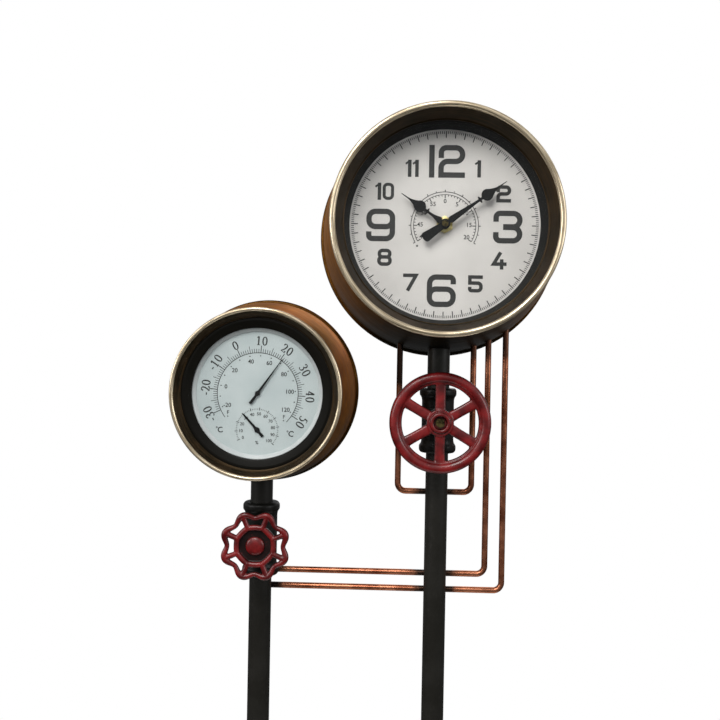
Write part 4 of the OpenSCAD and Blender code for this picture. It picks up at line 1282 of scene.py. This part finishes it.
# CAD nodes that stay as they are get their finish here.
FINISHES = [
    (GLASS, ["clock_glass", "insert_lens"]),
    (CLOCK_CARD, ["clock_dial"]),
    (THERMOMETER_CARD, ["thermometer_dial"]),
    (FASTENER, ["flange_screws", "clock_back_screws", "thermometer_back_screws", "saddle_set_screws"]),
    (IRON, ["clock_saddle", "thermometer_saddle"]),
    (STEEL, ["dial_screws", "motor_stator", "battery_contacts", "large_valve_stem", "small_valve_stem"]),
    (BLACK_PLASTIC, ["movement_front_case", "movement_rear_case", "setting_knob", "insert_cup"]),
    (WHITE_PLASTIC, ["minute_wheel"]),
    (BRASS, ["hour_wheel", "pointer_bushes"]),
    (STAINED_BRASS, ["centre_arbor", "large_wheel_screw"]),
    (SPRING_BRASS, ["thermometer_coil", "humidity_coil"]),
    (WIRE, ["motor_coil"]),
    (SLEEVE, ["battery"]),
]
for finish, nodes in FINISHES:
    for node in nodes:
        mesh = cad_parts[node].data
        mesh.materials.clear()
        mesh.materials.append(finish)


# ---------- Floor, lights and camera ----------

def floor():
    """A pale disc whose edge fades out, so that it has no outline against the white."""
    floor_r, sides = 700, 96
    mesh = mesh_of("floor", ([(x, y, 0) for x, y in circle(floor_r, sides)], [list(range(sides))]))
    m = Finish("pale_floor")
    m.paint(m.noise(120), rgb(236, 236, 234), rgb(244, 244, 243))
    m.set("Roughness", 0.7)
    m.set("Alpha", m.ramp(m.polar()[0], 0.5, 0.69, 1, 0))
    mesh.materials.append(m.material)
    made = placed("floor", mesh)


def soft_light(name, at, towards, size, power, colour=(1, 1, 1)):
    light = bpy.data.lights.new(name, "AREA")
    light.shape = "DISK"
    light.size = size
    light.energy = power
    light.color = colour
    lamp = placed(name, light)
    lamp.location = at
    lamp.rotation_euler = (Vector(towards) - Vector(at)).to_track_quat("-Z", "Y").to_euler()


def studio():
    """A white surround that lights more softly than it shows, dim below, and four large lamps."""
    world = bpy.data.worlds.new("studio")
    bpy.context.scene.world = world
    world.use_nodes = True
    tree = world.node_tree
    shown = tree.nodes["Background"]
    shown.inputs["Color"].default_value = (1, 1, 1, 1)
    shown.inputs["Strength"].default_value = 1
    direction = add_node(tree, "ShaderNodeTexCoord").outputs["Generated"]
    height = add_node(tree, "ShaderNodeSeparateXYZ", {0: direction}).outputs["Z"]
    fade = {"Value": height, "From Min": -0.35, "From Max": 0.15, "To Min": 0.05, "To Max": 0.5}
    strength = add_node(tree, "ShaderNodeMapRange", fade).outputs[0]
    lighting = add_node(tree, "ShaderNodeBackground", {0: (0.96, 0.98, 1, 1), 1: strength}).outputs[0]
    to_camera = add_node(tree, "ShaderNodeLightPath").outputs["Is Camera Ray"]
    mixed = add_node(tree, "ShaderNodeMixShader", {0: to_camera, 1: lighting, 2: shown.outputs[0]})
    join(tree, mixed.outputs[0], tree.nodes["World Output"].inputs["Surface"])
    aim = (0, 0, 0.95)
    soft_light("key_light", (-0.5, -1.6, 2.5), aim, 1.3, 44, (1, 0.99, 0.97))
    soft_light("left_light", (-2.0, -1.1, 1.6), aim, 1.2, 20, (1, 0.99, 0.98))
    soft_light("right_light", (2.0, -1.1, 1.5), aim, 1.2, 16, (0.98, 0.99, 1))
    soft_light("rear_light", (0.5, 1.8, 2.0), aim, 1.4, 10)
    bpy.context.scene.view_settings.view_transform = "Standard"


def camera():
    """The viewer stands 0.8 m in front of the posts, level with the space between the two heads."""
    data = bpy.data.cameras.new("camera")
    data.sensor_width = 36
    data.lens = 40.65
    seen = placed("camera", data)
    eye = (0.032, -0.8, 1.0058)
    yaw, pitch, roll = (math.radians(angle) for angle in (1.67, 0.31, 1.04))
    forward = Vector((-math.sin(yaw) * math.cos(pitch), math.cos(yaw) * math.cos(pitch), -math.sin(pitch)))
    level = Vector((math.cos(yaw), math.sin(yaw), 0))
    over = level.cross(forward)
    right = math.cos(roll) * level + math.sin(roll) * over
    up = math.cos(roll) * over - math.sin(roll) * level
    turn = Matrix((right, up, -forward)).transposed().to_4x4()
    seen.matrix_world = Matrix.Translation(eye) @ turn
    bpy.context.scene.camera = seen


floor()
studio()
camera()
